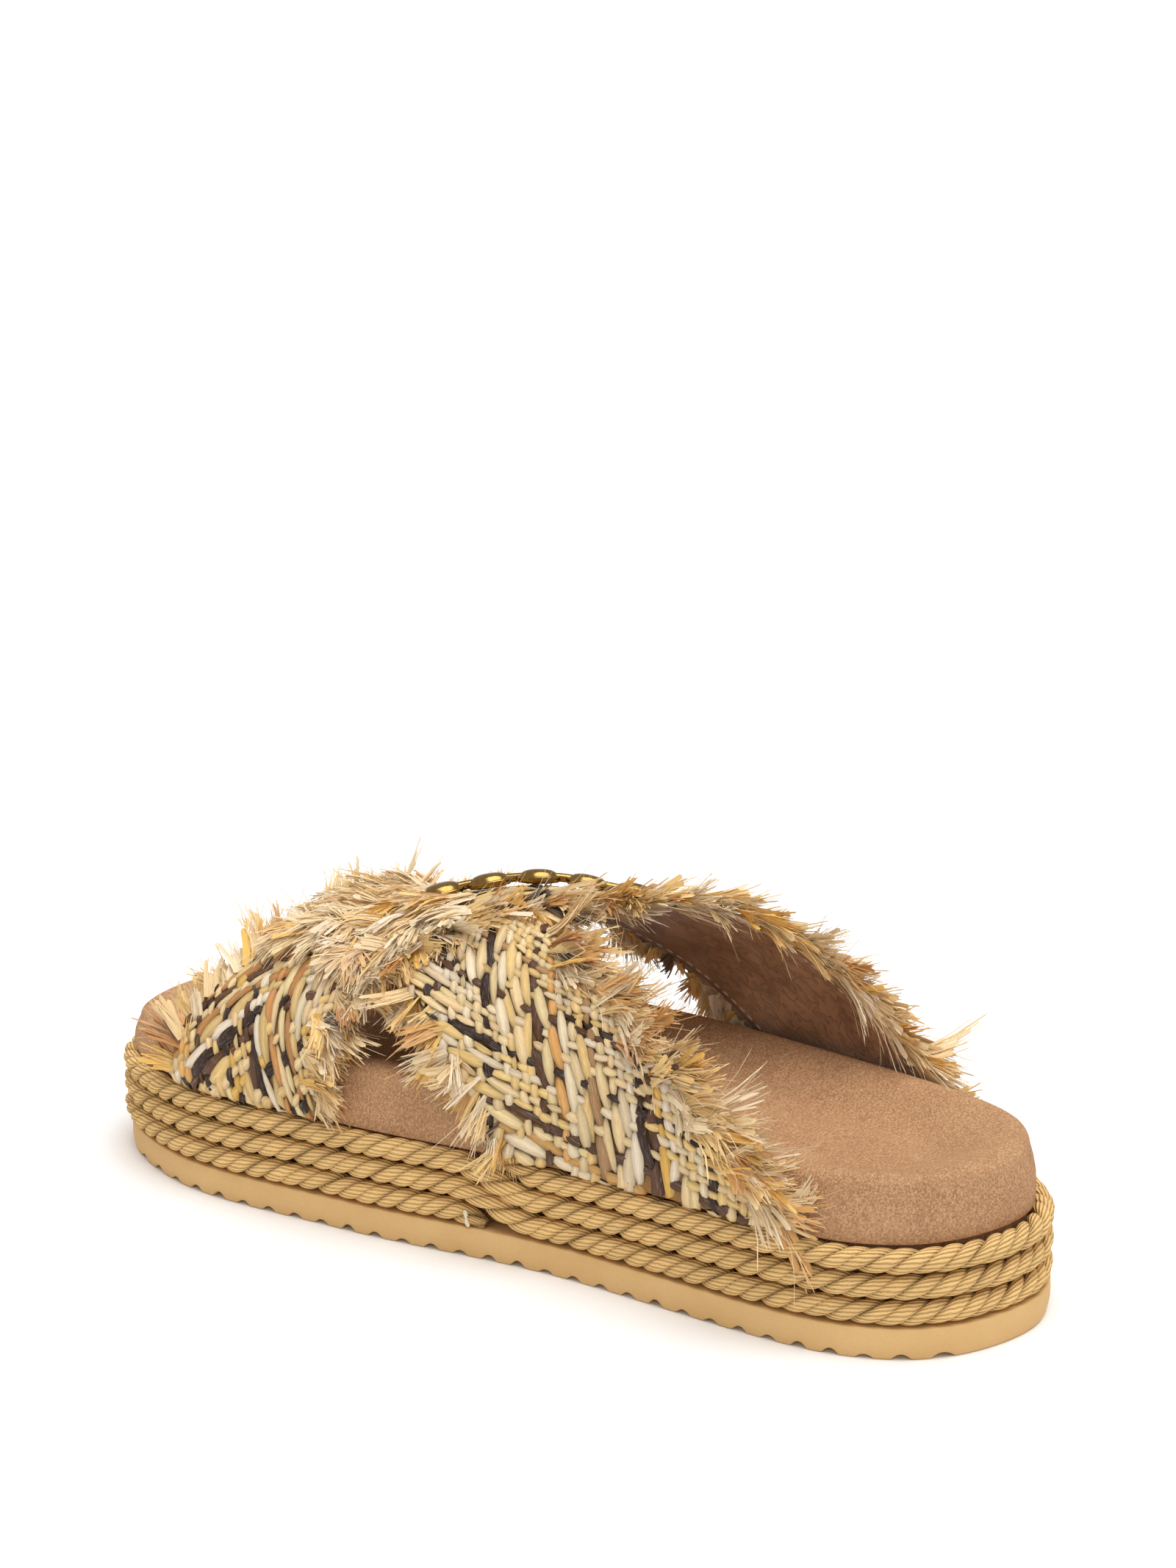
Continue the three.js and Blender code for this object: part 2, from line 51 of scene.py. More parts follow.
# Driving sizes of the part
SOLE_LENGTH = 265.0
BALL_WIDTH = 86.0
OUTSOLE_THICKNESS = 8.3
OUTSOLE_DRAFT = 0.8
OUTSOLE_DRAFT_HEIGHT = 2.9
GROOVE_PITCH = 8.3
GROOVE_WIDTH = 4.4
GROOVE_DEPTH = 1.3
ROPE_DIAMETER = 6.4
ROPE_COURSES = 3
ROPE_STEP_LENGTH = 24.0
ROPE_START = 0.465
FOOTBED_RISE = 17.0
FOOTBED_DRAFT = 1.8
RIM_RADIUS = 3.0
DISH_LIMIT = 0.17
DISH_WIDTH = 0.6
STRAP_WALL = 2.6
STRAP_TAIL = 4.5
INSTEP_RISE = 55.0
ARCH_ROUNDNESS = 2.1
CROSSING_LIFT = 2.1
LIFT_FROM = 0.08
LIFT_TO = 0.28
BEADS = 5
BEADS_ALONG = 0.615
BEAD_LENGTH = 12.5
BEAD_WIDTH = 9.0
BEAD_HEIGHT = 4.0
BEAD_BAR = 2.4
STRIP_RELIEF = 0.6
GAP = 0.3

# Heights and places that follow from them
ROPE_PITCH = ROPE_DIAMETER + GAP
ROPE_BASE = OUTSOLE_THICKNESS + GAP
ROPE_TOP = ROPE_BASE + (ROPE_COURSES - 1) * ROPE_PITCH + ROPE_DIAMETER
STRAP_BEND = STRAP_WALL / 2 + GAP
STRAP_BASE = ROPE_TOP + GAP + STRAP_WALL / 2 + STRAP_BEND

# Degrees at which a quarter round has a row of points
QUARTER = (15, 30, 45, 60, 75, 90)
# Outline of the outsole from the heel round the inner side to the toe and back.
# Columns: side and along as shares of width and length, bench and rope as shares of the rope's diameter.
OUTLINE = [
    (0.017, 0.0, 0.67, 0.08),
    (-0.302, 0.04, 0.62, 0.08),
    (-0.457, 0.128, 0.45, 0.12),
    (-0.413, 0.46, 0.3, 0.16),
    (-0.451, 0.679, 0.34, 0.16),
    (-0.409, 0.891, 0.38, 0.25),
    (-0.163, 1.0, 0.2, 0.31),
    (0.291, 0.977, 0.35, 0.25),
    (0.541, 0.664, 0.75, 0.16),
    (0.506, 0.46, 0.85, 0.16),
    (0.453, 0.177, 0.8, 0.12),
    (0.291, 0.041, 0.7, 0.08),
]
# Columns: along, inner rim, outer rim, bed, as shares of the footbed's rise
FOOTBED = [
    (0.0, 1.0, 1.0, 0.78),
    (0.18, 1.0, 1.02, 0.6),
    (0.45, 1.14, 1.2, 0.86),
    (0.65, 1.0, 1.05, 0.7),
    (0.85, 0.8, 0.8, 0.5),
    (1.0, 0.64, 0.64, 0.46),
]
# Columns: along, rise as a share of the instep's rise
ARCH = [(0.1, 1.0), (0.34, 1.06), (0.53, 0.93), (0.72, 0.76), (0.92, 0.36)]
# Columns: front edge's angle and along, rear edge's angle and along, from the inner to the outer end
OVER_STRAP = [
    (0, 0.89, 0, 0.71),
    (50, 0.86, 32, 0.7),
    (104, 0.72, 66, 0.62),
    (138, 0.5, 112, 0.375),
    (180, 0.33, 180, 0.13),
]
UNDER_STRAP = [
    (0, 0.49, 0, 0.19),
    (44, 0.62, 62, 0.47),
    (78, 0.69, 102, 0.56),
    (122, 0.8, 138, 0.62),
    (180, 0.87, 180, 0.66),
]


# Curves and tables

def smoothstep(x, low, high):
    share = np.clip((np.asarray(x, float) - low) / (high - low), 0, 1)
    return share * share * (3 - 2 * share)


def column(table, k, along):
    """One column of a table at shares of the length, smoothly between its rows."""
    rows = np.array(table, float)
    along = np.asarray(along, float)
    i = np.clip(np.searchsorted(rows[:, 0], along, side="left") - 1, 0, len(rows) - 2)
    share = smoothstep((along - rows[i, 0]) / (rows[i + 1, 0] - rows[i, 0]), 0, 1)
    return rows[i, k] + (rows[i + 1, k] - rows[i, k]) * share


def run_along(points):
    """Distance along rows of points from the first row."""
    steps = np.linalg.norm(np.diff(points, axis=0), axis=-1)
    return np.concatenate([0 * steps[:1], np.cumsum(steps, axis=0)])


def turns(count):
    """Angles of one full turn in equal steps."""
    return 2 * np.pi * np.arange(count) / count


def trough_depth(troughs, scale, x, y):
    """Depth of soft troughs at x, y, in millimetres. Each has x and y at its two ends, in the table's own
    unit, which scale turns into millimetres, and then its width and depth."""
    depth = np.zeros_like(x)
    for x0, y0, x1, y1, width, deep in troughs:
        start = np.array([x0, y0]) * scale
        along = np.array([x1, y1]) * scale - start
        rel = np.stack([x, y], -1) - start
        share = np.clip(rel @ along / (along @ along), 0, 1)
        off = np.linalg.norm(rel - share[..., None] * along, axis=-1)
        depth += deep * np.exp(-((off / width) ** 2) * 2)
    return depth


def centripetal(points, t, closed):
    """Points of the centripetal Catmull-Rom curve through given points, at t from 0 to 1."""
    knots = np.array(points, float)
    n = len(knots)
    place = (n if closed else n - 1) * np.atleast_1d(np.asarray(t, float))
    i = np.floor(place).astype(int)
    w = (place - i)[:, None]
    if closed:
        i %= n
        a, b, c, d = knots[(i - 1) % n], knots[i], knots[(i + 1) % n], knots[(i + 2) % n]
    else:
        last = i >= n - 1
        i[last] = n - 2
        w[last] = 1
        longer = np.vstack([2 * knots[0] - knots[1], knots, 2 * knots[-1] - knots[-2]])
        a, b, c, d = longer[i], longer[i + 1], longer[i + 2], longer[i + 3]
    d0, d1, d2 = (np.sqrt(np.linalg.norm(q - p, axis=1))[:, None] for p, q in ((a, b), (b, c), (c, d)))
    d1 = np.where(d1 < 1e-4, 1.0, d1)
    d0 = np.where(d0 < 1e-4, d1, d0)
    d2 = np.where(d2 < 1e-4, d1, d2)
    leave = ((b - a) / d0 - (c - a) / (d0 + d1) + (c - b) / d1) * d1
    enter = ((c - b) / d1 - (d - b) / (d1 + d2) + (d - c) / d2) * d1
    bend = -3 * b + 3 * c - 2 * leave - enter
    return b + leave * w + bend * w**2 + (2 * b - 2 * c + leave + enter) * w**3


def unit(v):
    return v / np.maximum(np.linalg.norm(v, axis=-1, keepdims=True), 1e-9)


def make_edge(n):
    """Evenly spaced points round the outsole. Columns: x, y, outward x and y, bench, proud."""
    rows = np.array(OUTLINE)
    flat = rows[:, :2] * (BALL_WIDTH, SOLE_LENGTH)
    fine = np.linspace(0, 1, 8 * n + 1)
    curve = centripetal(flat, fine, True)
    run = run_along(curve)
    t = np.interp(np.arange(n) / n * run[-1], run, fine)
    xy = centripetal(flat, t, True)
    tangent = unit(np.roll(xy, -1, axis=0) - np.roll(xy, 1, axis=0))
    place = t * len(rows)
    i = np.floor(place).astype(int) % len(rows)
    w = (place % 1)[:, None]
    extra = (rows[i, 2:] * (1 - w) + rows[(i + 1) % len(rows), 2:] * w) * ROPE_DIAMETER
    return np.hstack([xy, -tangent[:, 1:2], tangent[:, 0:1], extra])


EDGE = make_edge(1200)


def footbed_sides():
    ring = EDGE[:, :2] - EDGE[:, 2:4] * EDGE[:, 4:5]
    heel, toe = int(np.argmin(ring[:, 1])), int(np.argmax(ring[:, 1]))
    ring = np.roll(ring, -heel, axis=0)
    k = (toe - heel) % len(ring)
    return ring[: k + 1], np.vstack([ring[k:], ring[:1]])[::-1]


INNER_SIDE, OUTER_SIDE = footbed_sides()


def footbed_side(y, side):
    rows = INNER_SIDE if side < 0 else OUTER_SIDE
    return np.interp(y, rows[:, 1], rows[:, 0])


# The part's origin is under the middle of its box, and the outline's is at the back of the heel
cad_low, cad_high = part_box("outsole")
ORIGIN = np.array([
    (EDGE[:, 0].min() + EDGE[:, 0].max()) / 2 - (cad_low.x + cad_high.x) / 2 / MM,
    (EDGE[:, 1].min() + EDGE[:, 1].max()) / 2 - (cad_low.y + cad_high.y) / 2 / MM,
    0.0,
])


# Meshes

def add_object(name, data):
    made = bpy.data.objects.new(name, data)
    bpy.context.scene.collection.objects.link(made)
    return made


def add_mesh(name, points, faces, material, tint=None, grain=None, replaces=(), crisp=None):
    """A piece from points in millimetres and a list of arrays of faces with 3 or 4 corners each.
    crisp: degrees past which an edge is shaded sharp."""
    points = np.asarray(points, float).reshape(-1, 3)
    mesh = bpy.data.meshes.new(name)
    mesh.vertices.add(len(points))
    mesh.vertices.foreach_set("co", (points * MM).astype(np.float32).ravel())
    corners = np.concatenate([f.ravel() for f in faces]).astype(np.int32)
    sizes = np.concatenate([np.full(len(f), f.shape[1]) for f in faces])
    starts = np.concatenate([[0], np.cumsum(sizes)[:-1]]).astype(np.int32)
    mesh.loops.add(len(corners))
    mesh.loops.foreach_set("vertex_index", corners)
    mesh.polygons.add(len(starts))
    mesh.polygons.foreach_set("loop_start", starts)
    mesh.update(calc_edges=True)
    mesh.validate()
    mesh.polygons.foreach_set("use_smooth", np.full(len(mesh.polygons), True))
    if crisp:
        mesh.set_sharp_from_angle(angle=math.radians(crisp))
    if tint is not None:
        rgba = np.ones((len(points), 4), np.float32)
        rgba[:, :3] = np.asarray(tint).reshape(-1, 3)
        mesh.attributes.new("tint", "FLOAT_COLOR", "POINT").data.foreach_set("color", rgba.ravel())
    if grain is not None:
        flat = np.asarray(grain, np.float32).reshape(-1, 3)
        mesh.attributes.new("grain", "FLOAT_VECTOR", "POINT").data.foreach_set("vector", flat.ravel())
    mesh.materials.append(material)
    piece = add_object(name, mesh)
    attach(piece, "root")
    if replaces:
        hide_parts(*replaces)
    return piece


def grid_faces(rows, cols, closed):
    """Quads over rows of points. closed: each row is a ring."""
    r = np.arange(rows - 1)[:, None]
    c = np.arange(cols if closed else cols - 1)[None, :]
    a = r * cols + c
    b = r * cols + (c + 1) % cols
    return np.stack([a, b, b + cols, a + cols], -1).reshape(-1, 4)


def tube_faces(rings, sides):
    """Faces of a tube through rings of points, with a fan of triangles over each end."""
    fan = np.array([(0, k + 1, k) for k in range(1, sides - 1)])
    return [grid_faces(rings, sides, True), fan, fan[:, ::-1] + (rings - 1) * sides]


def ladder(ring):
    """Triangles straight across a ring that runs up one side of the sandal and down the other."""
    size = len(ring)
    y = ring[:, 1]
    toe = int(np.argmax(y))
    faces = []
    up, down = 0, size
    while down - up > 1:
        above = y[up + 1] if up < toe else np.inf
        beside = y[down - 1] if down > toe else np.inf
        climbs = above <= beside
        if down % size != up:
            faces.append((up, up + 1 if climbs else down - 1, down % size))
        up, down = (up + 1, down) if climbs else (up, down - 1)
    return np.array(faces)


def loft(rings):
    """Points and faces of a closed body through rings round the sandal, from the floor up and over."""
    rings = np.array(rings)
    count, size = rings.shape[:2]
    first = ladder(rings[0])
    last = ladder(rings[-1]) + (count - 1) * size
    return rings.reshape(-1, 3), [grid_faces(count, size, True)[:, ::-1], first, last[:, ::-1]]


class Heap:
    """Many small parts that become one mesh."""

    def __init__(self):
        self.points, self.tint, self.grain = [], [], []
        self.faces = {3: [], 4: []}
        self.size = 0

    def add(self, points, faces, tint, grain):
        """points: first index the part. tint and grain spread over them. faces: corners of one part."""
        each = points[0].size // 3
        start = (self.size + np.arange(len(points)) * each)[:, None, None]
        for rows, values in ((self.points, points), (self.tint, tint), (self.grain, grain)):
            rows.append(np.broadcast_to(values, points.shape).reshape(-1, 3))
        for face in faces:
            self.faces[face.shape[1]].append((start + face).reshape(-1, face.shape[1]))
        self.size += len(points) * each

    def piece(self, name, material, slot, replaces=(), crisp=None):
        faces = [np.concatenate(f) for f in self.faces.values() if f]
        points, tint, grain = (np.concatenate(rows) for rows in (self.points, self.tint, self.grain))
        return add_mesh(name, points, faces, material, tint, grain, replaces, crisp)


# Materials

def linear(r, g, b):
    """Linear colour from one given in 0 to 255 as seen on a screen."""
    c = np.array([r, g, b]) / 255
    return np.where(c <= 0.04045, c / 12.92, ((c + 0.055) / 1.055) ** 2.4)


# Highest value that a channel of a colour may have
BRIGHTEST = 0.98


def keep_hue(color):
    """Darkens the colours that are too bright, in place of cutting off their highest channel."""
    return color / np.maximum(1, color.max(axis=-1, keepdims=True) / BRIGHTEST)


class Shade:
    """A node material under construction."""

    def __init__(self, name, roughness, **sockets):
        self.material = bpy.data.materials.new(name)
        self.material.use_nodes = True
        self.tree = self.material.node_tree
        self.shader = self.tree.nodes["Principled BSDF"]
        self.shader.inputs["Roughness"].default_value = roughness
        for socket, value in sockets.items():
            self.shader.inputs[socket.replace("_", " ")].default_value = value

    def node(self, kind, settings=None, **inputs):
        """A node of a kind. inputs: by name, with _ for a space, or by number after a _."""
        node = self.tree.nodes.new("ShaderNode" + kind)
        for key, value in (settings or {}).items():
            setattr(node, key, value)
        for key, value in inputs.items():
            socket = node.inputs[int(key[1:])] if key[0] == "_" else node.inputs[key.replace("_", " ")]
            if isinstance(value, bpy.types.NodeSocket):
                self.tree.links.new(value, socket)
            else:
                socket.default_value = value
        return node

    def carried(self, name, output):
        """A value that the mesh carries at its points."""
        return self.node("Attribute", {"attribute_name": name}).outputs[output]

    def tint_and_shadow(self, darker):
        """The mesh's own colour, and the same darkened."""
        tint = self.carried("tint", "Color")
        return tint, self.mix(1.0, tint, darker, "MULTIPLY")

    def texture(self, vector, scale, detail, rough):
        node = self.node("TexNoise", Vector=vector, Scale=scale, Detail=detail, Roughness=rough)
        return node.outputs["Fac"]

    def noise(self, size, detail, rough=0.5):
        """Noise whose lumps are about size millimetres across."""
        return self.texture(self.node("TexCoord").outputs["Object"], 1 / (size * MM), detail, rough)

    def grain_noise(self, detail):
        """Noise that follows the mesh's grain."""
        return self.texture(self.carried("grain", "Vector"), 1.0, detail, 0.6)

    def math(self, operation, a, b=0.0):
        return self.node("Math", {"operation": operation}, _0=a, _1=b).outputs[0]

    def stretch(self, value, low, high, out_low, out_high):
        ends = {"From_Min": low, "From_Max": high, "To_Min": out_low, "To_Max": out_high}
        return self.node("MapRange", {"clamp": True}, Value=value, **ends).outputs["Result"]

    def mix(self, factor, a, b, kind="MIX"):
        a, b = (c if isinstance(c, bpy.types.NodeSocket) else (*c, 1) for c in (a, b))
        settings = {"data_type": "RGBA", "blend_type": kind}
        return self.node("Mix", settings, _0=factor, _6=a, _7=b).outputs[2]

    def layer(self, color, ink, value, low, high, out_low, out_high):
        """Ink laid over a colour, by a share that goes from out_low to out_high with the value."""
        return self.mix(self.stretch(value, low, high, out_low, out_high), color, ink)

    def bump(self, height, depth, normal=None):
        """Bump of a depth in millimetres for a height from 0 to 1."""
        inputs = {"Height": height, "Distance": depth * MM, "Strength": 1.0}
        if normal:
            inputs["Normal"] = normal
        return self.node("Bump", **inputs).outputs["Normal"]

    def finish(self, color, normal, roughness=None):
        self.tree.links.new(color, self.shader.inputs["Base Color"])
        self.tree.links.new(normal, self.shader.inputs["Normal"])
        if roughness:
            self.tree.links.new(roughness, self.shader.inputs["Roughness"])
        return self.material


def foam_material():
    s = Shade("foam_rubber", 0.75, Specular_IOR_Level=0.3)
    pores = s.noise(0.5, 2)
    color = s.mix(s.noise(14, 2), linear(216, 174, 114), linear(231, 192, 134))
    # Darker in the pores: painted shade in the pits of the foam.
    color = s.layer(color, linear(176, 136, 86), pores, 0.35, 0.7, 0.12, 0)
    return s.finish(color, s.bump(s.noise(5, 2), 0.12, s.bump(pores, 0.07)))


def suede_material():
    s = Shade("suede", 0.95, Specular_IOR_Level=0.1, Sheen_Weight=0.06, Sheen_Roughness=0.5)
    s.shader.inputs["Sheen Tint"].default_value = (*linear(240, 205, 175), 1)
    patch = s.noise(2.6, 4, 0.65)
    nap = s.noise(0.55, 3, 0.8)
    color = s.layer(linear(184, 137, 97), linear(202, 156, 114), s.noise(16, 3), 0.3, 0.7, 0, 1)
    color = s.layer(color, linear(150, 108, 80), patch, 0.35, 0.7, 0, 0.35)
    # Lighter on the nap's high spots and darker in its low ones: painted highlight and painted shade.
    color = s.layer(color, linear(232, 192, 150), nap, 0.48, 0.68, 0, 0.7)
    color = s.layer(color, linear(132, 92, 64), nap, 0.32, 0.5, 0.65, 0)
    return s.finish(color, s.bump(nap, 0.34, s.bump(patch, 0.14)))


def rope_material():
    s = Shade("twisted_cord", 0.9, Specular_IOR_Level=0.15)
    yarn = s.node("SeparateXYZ", Vector=s.carried("grain", "Vector")).outputs
    phase = s.math("ADD", yarn[0], s.math("MULTIPLY", s.noise(1.6, 2), 1.2))
    ridge = s.math("ABSOLUTE", s.math("SINE", phase))
    hairs = s.noise(0.3, 2)
    tint, shadow = s.tint_and_shadow((0.55, 0.46, 0.34))
    color = s.layer(tint, shadow, ridge, 0.0, 0.5, 0.85, 0)
    color = s.layer(color, linear(252, 226, 174), hairs, 0.5, 0.75, 0, 0.35)
    return s.finish(color, s.bump(hairs, 0.08, s.bump(ridge, 0.5)))


def raffia_material(name, roughness, streak):
    s = Shade(name, roughness, Specular_IOR_Level=0.32)
    fine = s.grain_noise(3)
    tint, shadow = s.tint_and_shadow((0.62, 0.5, 0.34))
    color = s.layer(tint, shadow, fine, 0.3, 0.6, streak, 0)
    color = s.layer(color, linear(252, 243, 220), fine, 0.55, 0.8, 0, 0.3)
    rough = s.stretch(fine, 0.3, 0.7, roughness + 0.12, roughness - 0.08)
    return s.finish(color, s.bump(fine, 0.16), rough)


def leather_material():
    s = Shade("lining_leather", 0.5, Specular_IOR_Level=0.45, Coat_Weight=0.12, Coat_Roughness=0.4)
    fold = s.math("ABSOLUTE", s.math("SUBTRACT", s.grain_noise(4), 0.5))
    color = s.layer(linear(148, 112, 86), linear(190, 152, 122), s.noise(12, 3), 0.3, 0.7, 0, 1)
    # Darker along the folds: painted shade in the creases.
    color = s.layer(color, linear(100, 72, 54), fold, 0.0, 0.012, 0.22, 0)
    normal = s.bump(s.stretch(fold, 0.0, 0.05, 0, 1), 0.25)
    return s.finish(color, s.bump(s.noise(0.5, 2), 0.06, normal))


def backing_material():
    s = Shade("woven_backing", 0.95, Specular_IOR_Level=0.1)
    weave = s.noise(0.6, 3)
    tint, shadow = s.tint_and_shadow((0.6, 0.55, 0.5))
    return s.finish(s.layer(tint, shadow, weave, 0.3, 0.7, 0.5, 0), s.bump(weave, 0.25))


def mottled_material(name, roughness, size, detail, dark, light, depth, **sockets):
    """A material whose colour and bump follow one noise, with that noise's Shade."""
    s = Shade(name, roughness, **sockets)
    spots = s.noise(size, detail)
    s.finish(s.mix(spots, linear(*dark), linear(*light)), s.bump(spots, depth))
    return s


def gilt_material():
    s = mottled_material("gilt_metal", 0.16, 1.2, 4, (120, 90, 46), (178, 140, 78), 0.02, Metallic=1.0)
    rough = s.stretch(s.noise(0.4, 3), 0.3, 0.7, 0.12, 0.28)
    s.tree.links.new(rough, s.shader.inputs["Roughness"])
    return s.material


def thread_material():
    return mottled_material("stitch_thread", 0.7, 0.3, 2, (206, 196, 184), (242, 236, 228), 0.08).material


def glue_material():
    inks = (222, 204, 168), (240, 228, 200)
    return mottled_material("dried_glue", 0.35, 1.0, 2, *inks, 0.05, Specular_IOR_Level=0.5).material


# Outsole

def ring_at(edge, out, height):
    """A ring out millimetres outside the outsole's edge, in the part's frame."""
    out = np.broadcast_to(out, len(edge))
    xy = edge[:, :2] + edge[:, 2:4] * out[:, None]
    return np.hstack([xy, np.broadcast_to(height, len(edge))[:, None]]) - ORIGIN


def make_outsole(material):
    edge = EDGE
    count = int(SOLE_LENGTH / GROOVE_PITCH) - 1
    first = (SOLE_LENGTH - (count - 1) * GROOVE_PITCH) / 2
    near = np.clip(np.round((edge[:, 1] - first) / GROOVE_PITCH), 0, count - 1)
    off = np.abs(edge[:, 1] - first - near * GROOVE_PITCH)
    share = np.clip(0.5 + off / GROOVE_WIDTH, 0, 1)
    worn = 1 + 0.15 * np.sin(near * 2.3) + 0.12 * np.sin(near * 5.1)
    groove = 4 * GROOVE_DEPTH * worn * share * (1 - share)
    lip = 0.45
    wave = 0.12 * np.sin(edge[:, 1] / 11) + 0.08 * np.sin(edge[:, 1] / 4.7 + edge[:, 0])
    profile = [
        (-OUTSOLE_DRAFT - lip, groove),
        (-OUTSOLE_DRAFT, groove + 0.25 * lip),
        (-OUTSOLE_DRAFT * 0.7, groove + lip),
        (wave * 0.5, OUTSOLE_DRAFT_HEIGHT),
        (wave, OUTSOLE_THICKNESS * 0.6),
        (0, OUTSOLE_THICKNESS - lip),
        (-0.3 * lip, OUTSOLE_THICKNESS - 0.25 * lip),
        (-lip, OUTSOLE_THICKNESS),
    ]
    points, faces = loft([ring_at(edge, out, height) for out, height in profile])
    return add_mesh("outsole_foam", points, faces, material, replaces=["outsole"])


# Rope

STRANDS = 3
STRAND_SIDES = 12
YARNS = 11
LAY_LENGTH = 17.4
# Three strands that touch fill a circle 2.155 times as wide as one, and here they are pressed together
STRAND_RADIUS = ROPE_DIAMETER / 2 / 2.155 * 1.08
STRAND_ORBIT = ROPE_DIAMETER / 2 - STRAND_RADIUS
YARN_TURN = 16.5
# How far each end of the rope runs on past the ends of its courses
ROPE_LAP = 9.0


def rope_fullness(at):
    """Share of the rope's thickness: its two ends are squashed flat over and under the next course."""
    return np.minimum(smoothstep(at - at[0], -4, ROPE_LAP), smoothstep(at[-1] - at, -4, ROPE_LAP))


def rope_line():
    """Middle of the rope every so often along it: points, tangents, outward normals, distance along."""
    line = EDGE[:, :2] + EDGE[:, 2:4] * (EDGE[:, 5:6] - ROPE_DIAMETER / 2)
    from_start = np.abs(EDGE[:, 1] - SOLE_LENGTH * ROPE_START) + np.where(EDGE[:, 0] > 0, SOLE_LENGTH, 0)
    turned = np.roll(line, -int(np.argmin(from_start)), axis=0)[::-1]
    turned = np.roll(turned, 1, axis=0)
    loop = np.vstack([turned, turned[:1]])
    run = run_along(loop)
    length = run[-1]
    at = np.arange(-ROPE_LAP, ROPE_COURSES * length - ROPE_STEP_LENGTH + ROPE_LAP, 1.15)
    x, y = (np.interp(at % length, run, loop[:, k]) for k in range(2))
    turn = np.maximum(np.floor(at / length), 0)
    left = length - (at - turn * length)
    down = np.where(at < 0, 0, turn + smoothstep(ROPE_STEP_LENGTH - left, 0, ROPE_STEP_LENGTH))
    z = ROPE_TOP - ROPE_DIAMETER / 2 - np.minimum(down, ROPE_COURSES - 1) * ROPE_PITCH
    z += ROPE_DIAMETER / 2 * (1 - rope_fullness(at)) * np.where(at < length, 1, -1)
    points = np.stack([x, y, z], -1) - ORIGIN
    tangent = unit(np.gradient(points, axis=0))
    return points, tangent, unit(np.cross(tangent, [0, 0, 1])), at


def make_rope(material):
    line, tangent, out, at = rope_line()
    up = unit(np.array([0, 0, 1.0]) - tangent * tangent[:, 2:3])
    close = rope_fullness(at)[:, None]
    count, side = len(at), np.arange(STRAND_SIDES)
    angle = turns(STRAND_SIDES)
    cos, sin = -np.cos(angle)[:, None], np.sin(angle)[:, None]
    after = (side + 1) % STRAND_SIDES
    top, centre = (count - 1) * STRAND_SIDES, np.full(STRAND_SIDES, count * STRAND_SIDES)
    low_cap = np.stack([after, side, centre], -1)
    high_cap = np.stack([top + side, top + after, centre + 1], -1)
    faces = [grid_faces(count, STRAND_SIDES, True), low_cap, high_cap]
    yarn = YARNS * angle / 2 - YARN_TURN * np.pi * at[:, None] / LAY_LENGTH
    # Painted shade on each strand's sides, where it meets its neighbours.
    crease_shade = 0.78 + 0.22 * smoothstep(cos, -0.3, 0.4)
    heap = Heap()
    for strand in range(STRANDS):
        loose = 0.16 * np.sin(at / 23 + strand * 2) + 0.1 * np.sin(at / 7.3 + strand)
        turn = 2 * np.pi * (at / LAY_LENGTH + strand / STRANDS) + loose
        radial = out * np.cos(turn)[:, None] + up * np.sin(turn)[:, None]
        around = -out * np.sin(turn)[:, None] + up * np.cos(turn)[:, None]
        middle = line + radial * STRAND_ORBIT * (0.4 + 0.6 * close)
        fat = STRAND_RADIUS * (1 + 0.05 * np.sin(at / 5.1 + 2 * strand) + 0.04 * np.sin(at / 2.2))
        reach = (fat[:, None] * (0.25 + 0.75 * close))[:, :, None]
        across = 1.26 * reach * sin * around[:, None] + 0.98 * reach * cos * radial[:, None]
        rings = middle[:, None] + across
        # A slow random change of tone along each strand, and darker on the squashed ends: painted shade
        # where they press against the next course.
        shade = 0.94 + 0.06 * np.sin(at / 31 + strand) - 0.2 * (1 - close[:, 0])
        tint = linear(253, 208, 138) * shade[:, None, None] * crease_shade
        grain = np.stack(np.broadcast_arrays(yarn, at[:, None], float(strand)), -1)
        ends = rings[[0, -1]].mean(axis=1), tint[[0, -1], 0], grain[[0, -1], 0]
        parts = (rings, tint, grain)
        points, tint, grain = (np.vstack([p.reshape(-1, 3), e]) for p, e in zip(parts, ends))
        heap.add(points[None], faces, tint, grain)
    return heap.piece("rope_cord", material, "rope", ["rope_wrap"])


def make_glue(material):
    """A dried drop of glue that has run down over the end of the rope's lowest course."""
    line, tangent, out, at = rope_line()
    k = int(np.searchsorted(at, at[-1] - 0.6 * ROPE_LAP))
    middle = line[k] + out[k] * ROPE_DIAMETER / 2 * (0.25 + 0.75 * rope_fullness(at)[k])
    down = np.linspace(-2.2, 2.4, 12)[:, None]
    half = np.array([0.05, 0.5, 0.75, 0.7, 0.5, 0.45, 0.5, 0.65, 0.8, 0.75, 0.5, 0.05])[:, None]
    angle = turns(12)
    lean = 0.16 * down + 0.1 * np.sin(down * 2)
    points = middle + (half * np.cos(angle) + lean)[..., None] * tangent[k]
    points = points + (0.55 * half * np.sin(angle) - 0.05 * down**2)[..., None] * out[k]
    points = points - down[..., None] * np.array([0, 0, 1.0])
    return add_mesh("glue_drop", points, tube_faces(12, 12), material)


# Footbed

TUCK_DEPTH = STRAP_BEND + STRAP_TAIL + 1.5
# Soft troughs of the bed. Columns: x and along at one end, x and along at the other (shares of the ball
# width and the length), width and depth in millimetres.
BED_TROUGHS = [
    (-0.2, 0.05, 0.24, 0.075, 7.0, 0.4),
    (-0.3, 0.16, -0.24, 0.34, 6.0, 0.35),
    (0.1, 0.2, 0.3, 0.26, 6.0, 0.3),
    (-0.12, 0.3, 0.1, 0.36, 8.0, 0.25),
    (0.3, 0.1, 0.36, 0.3, 5.0, 0.3),
    (-0.36, 0.4, -0.28, 0.62, 6.0, 0.3),
    (-0.1, 0.78, 0.2, 0.8, 9.0, 0.3),
]


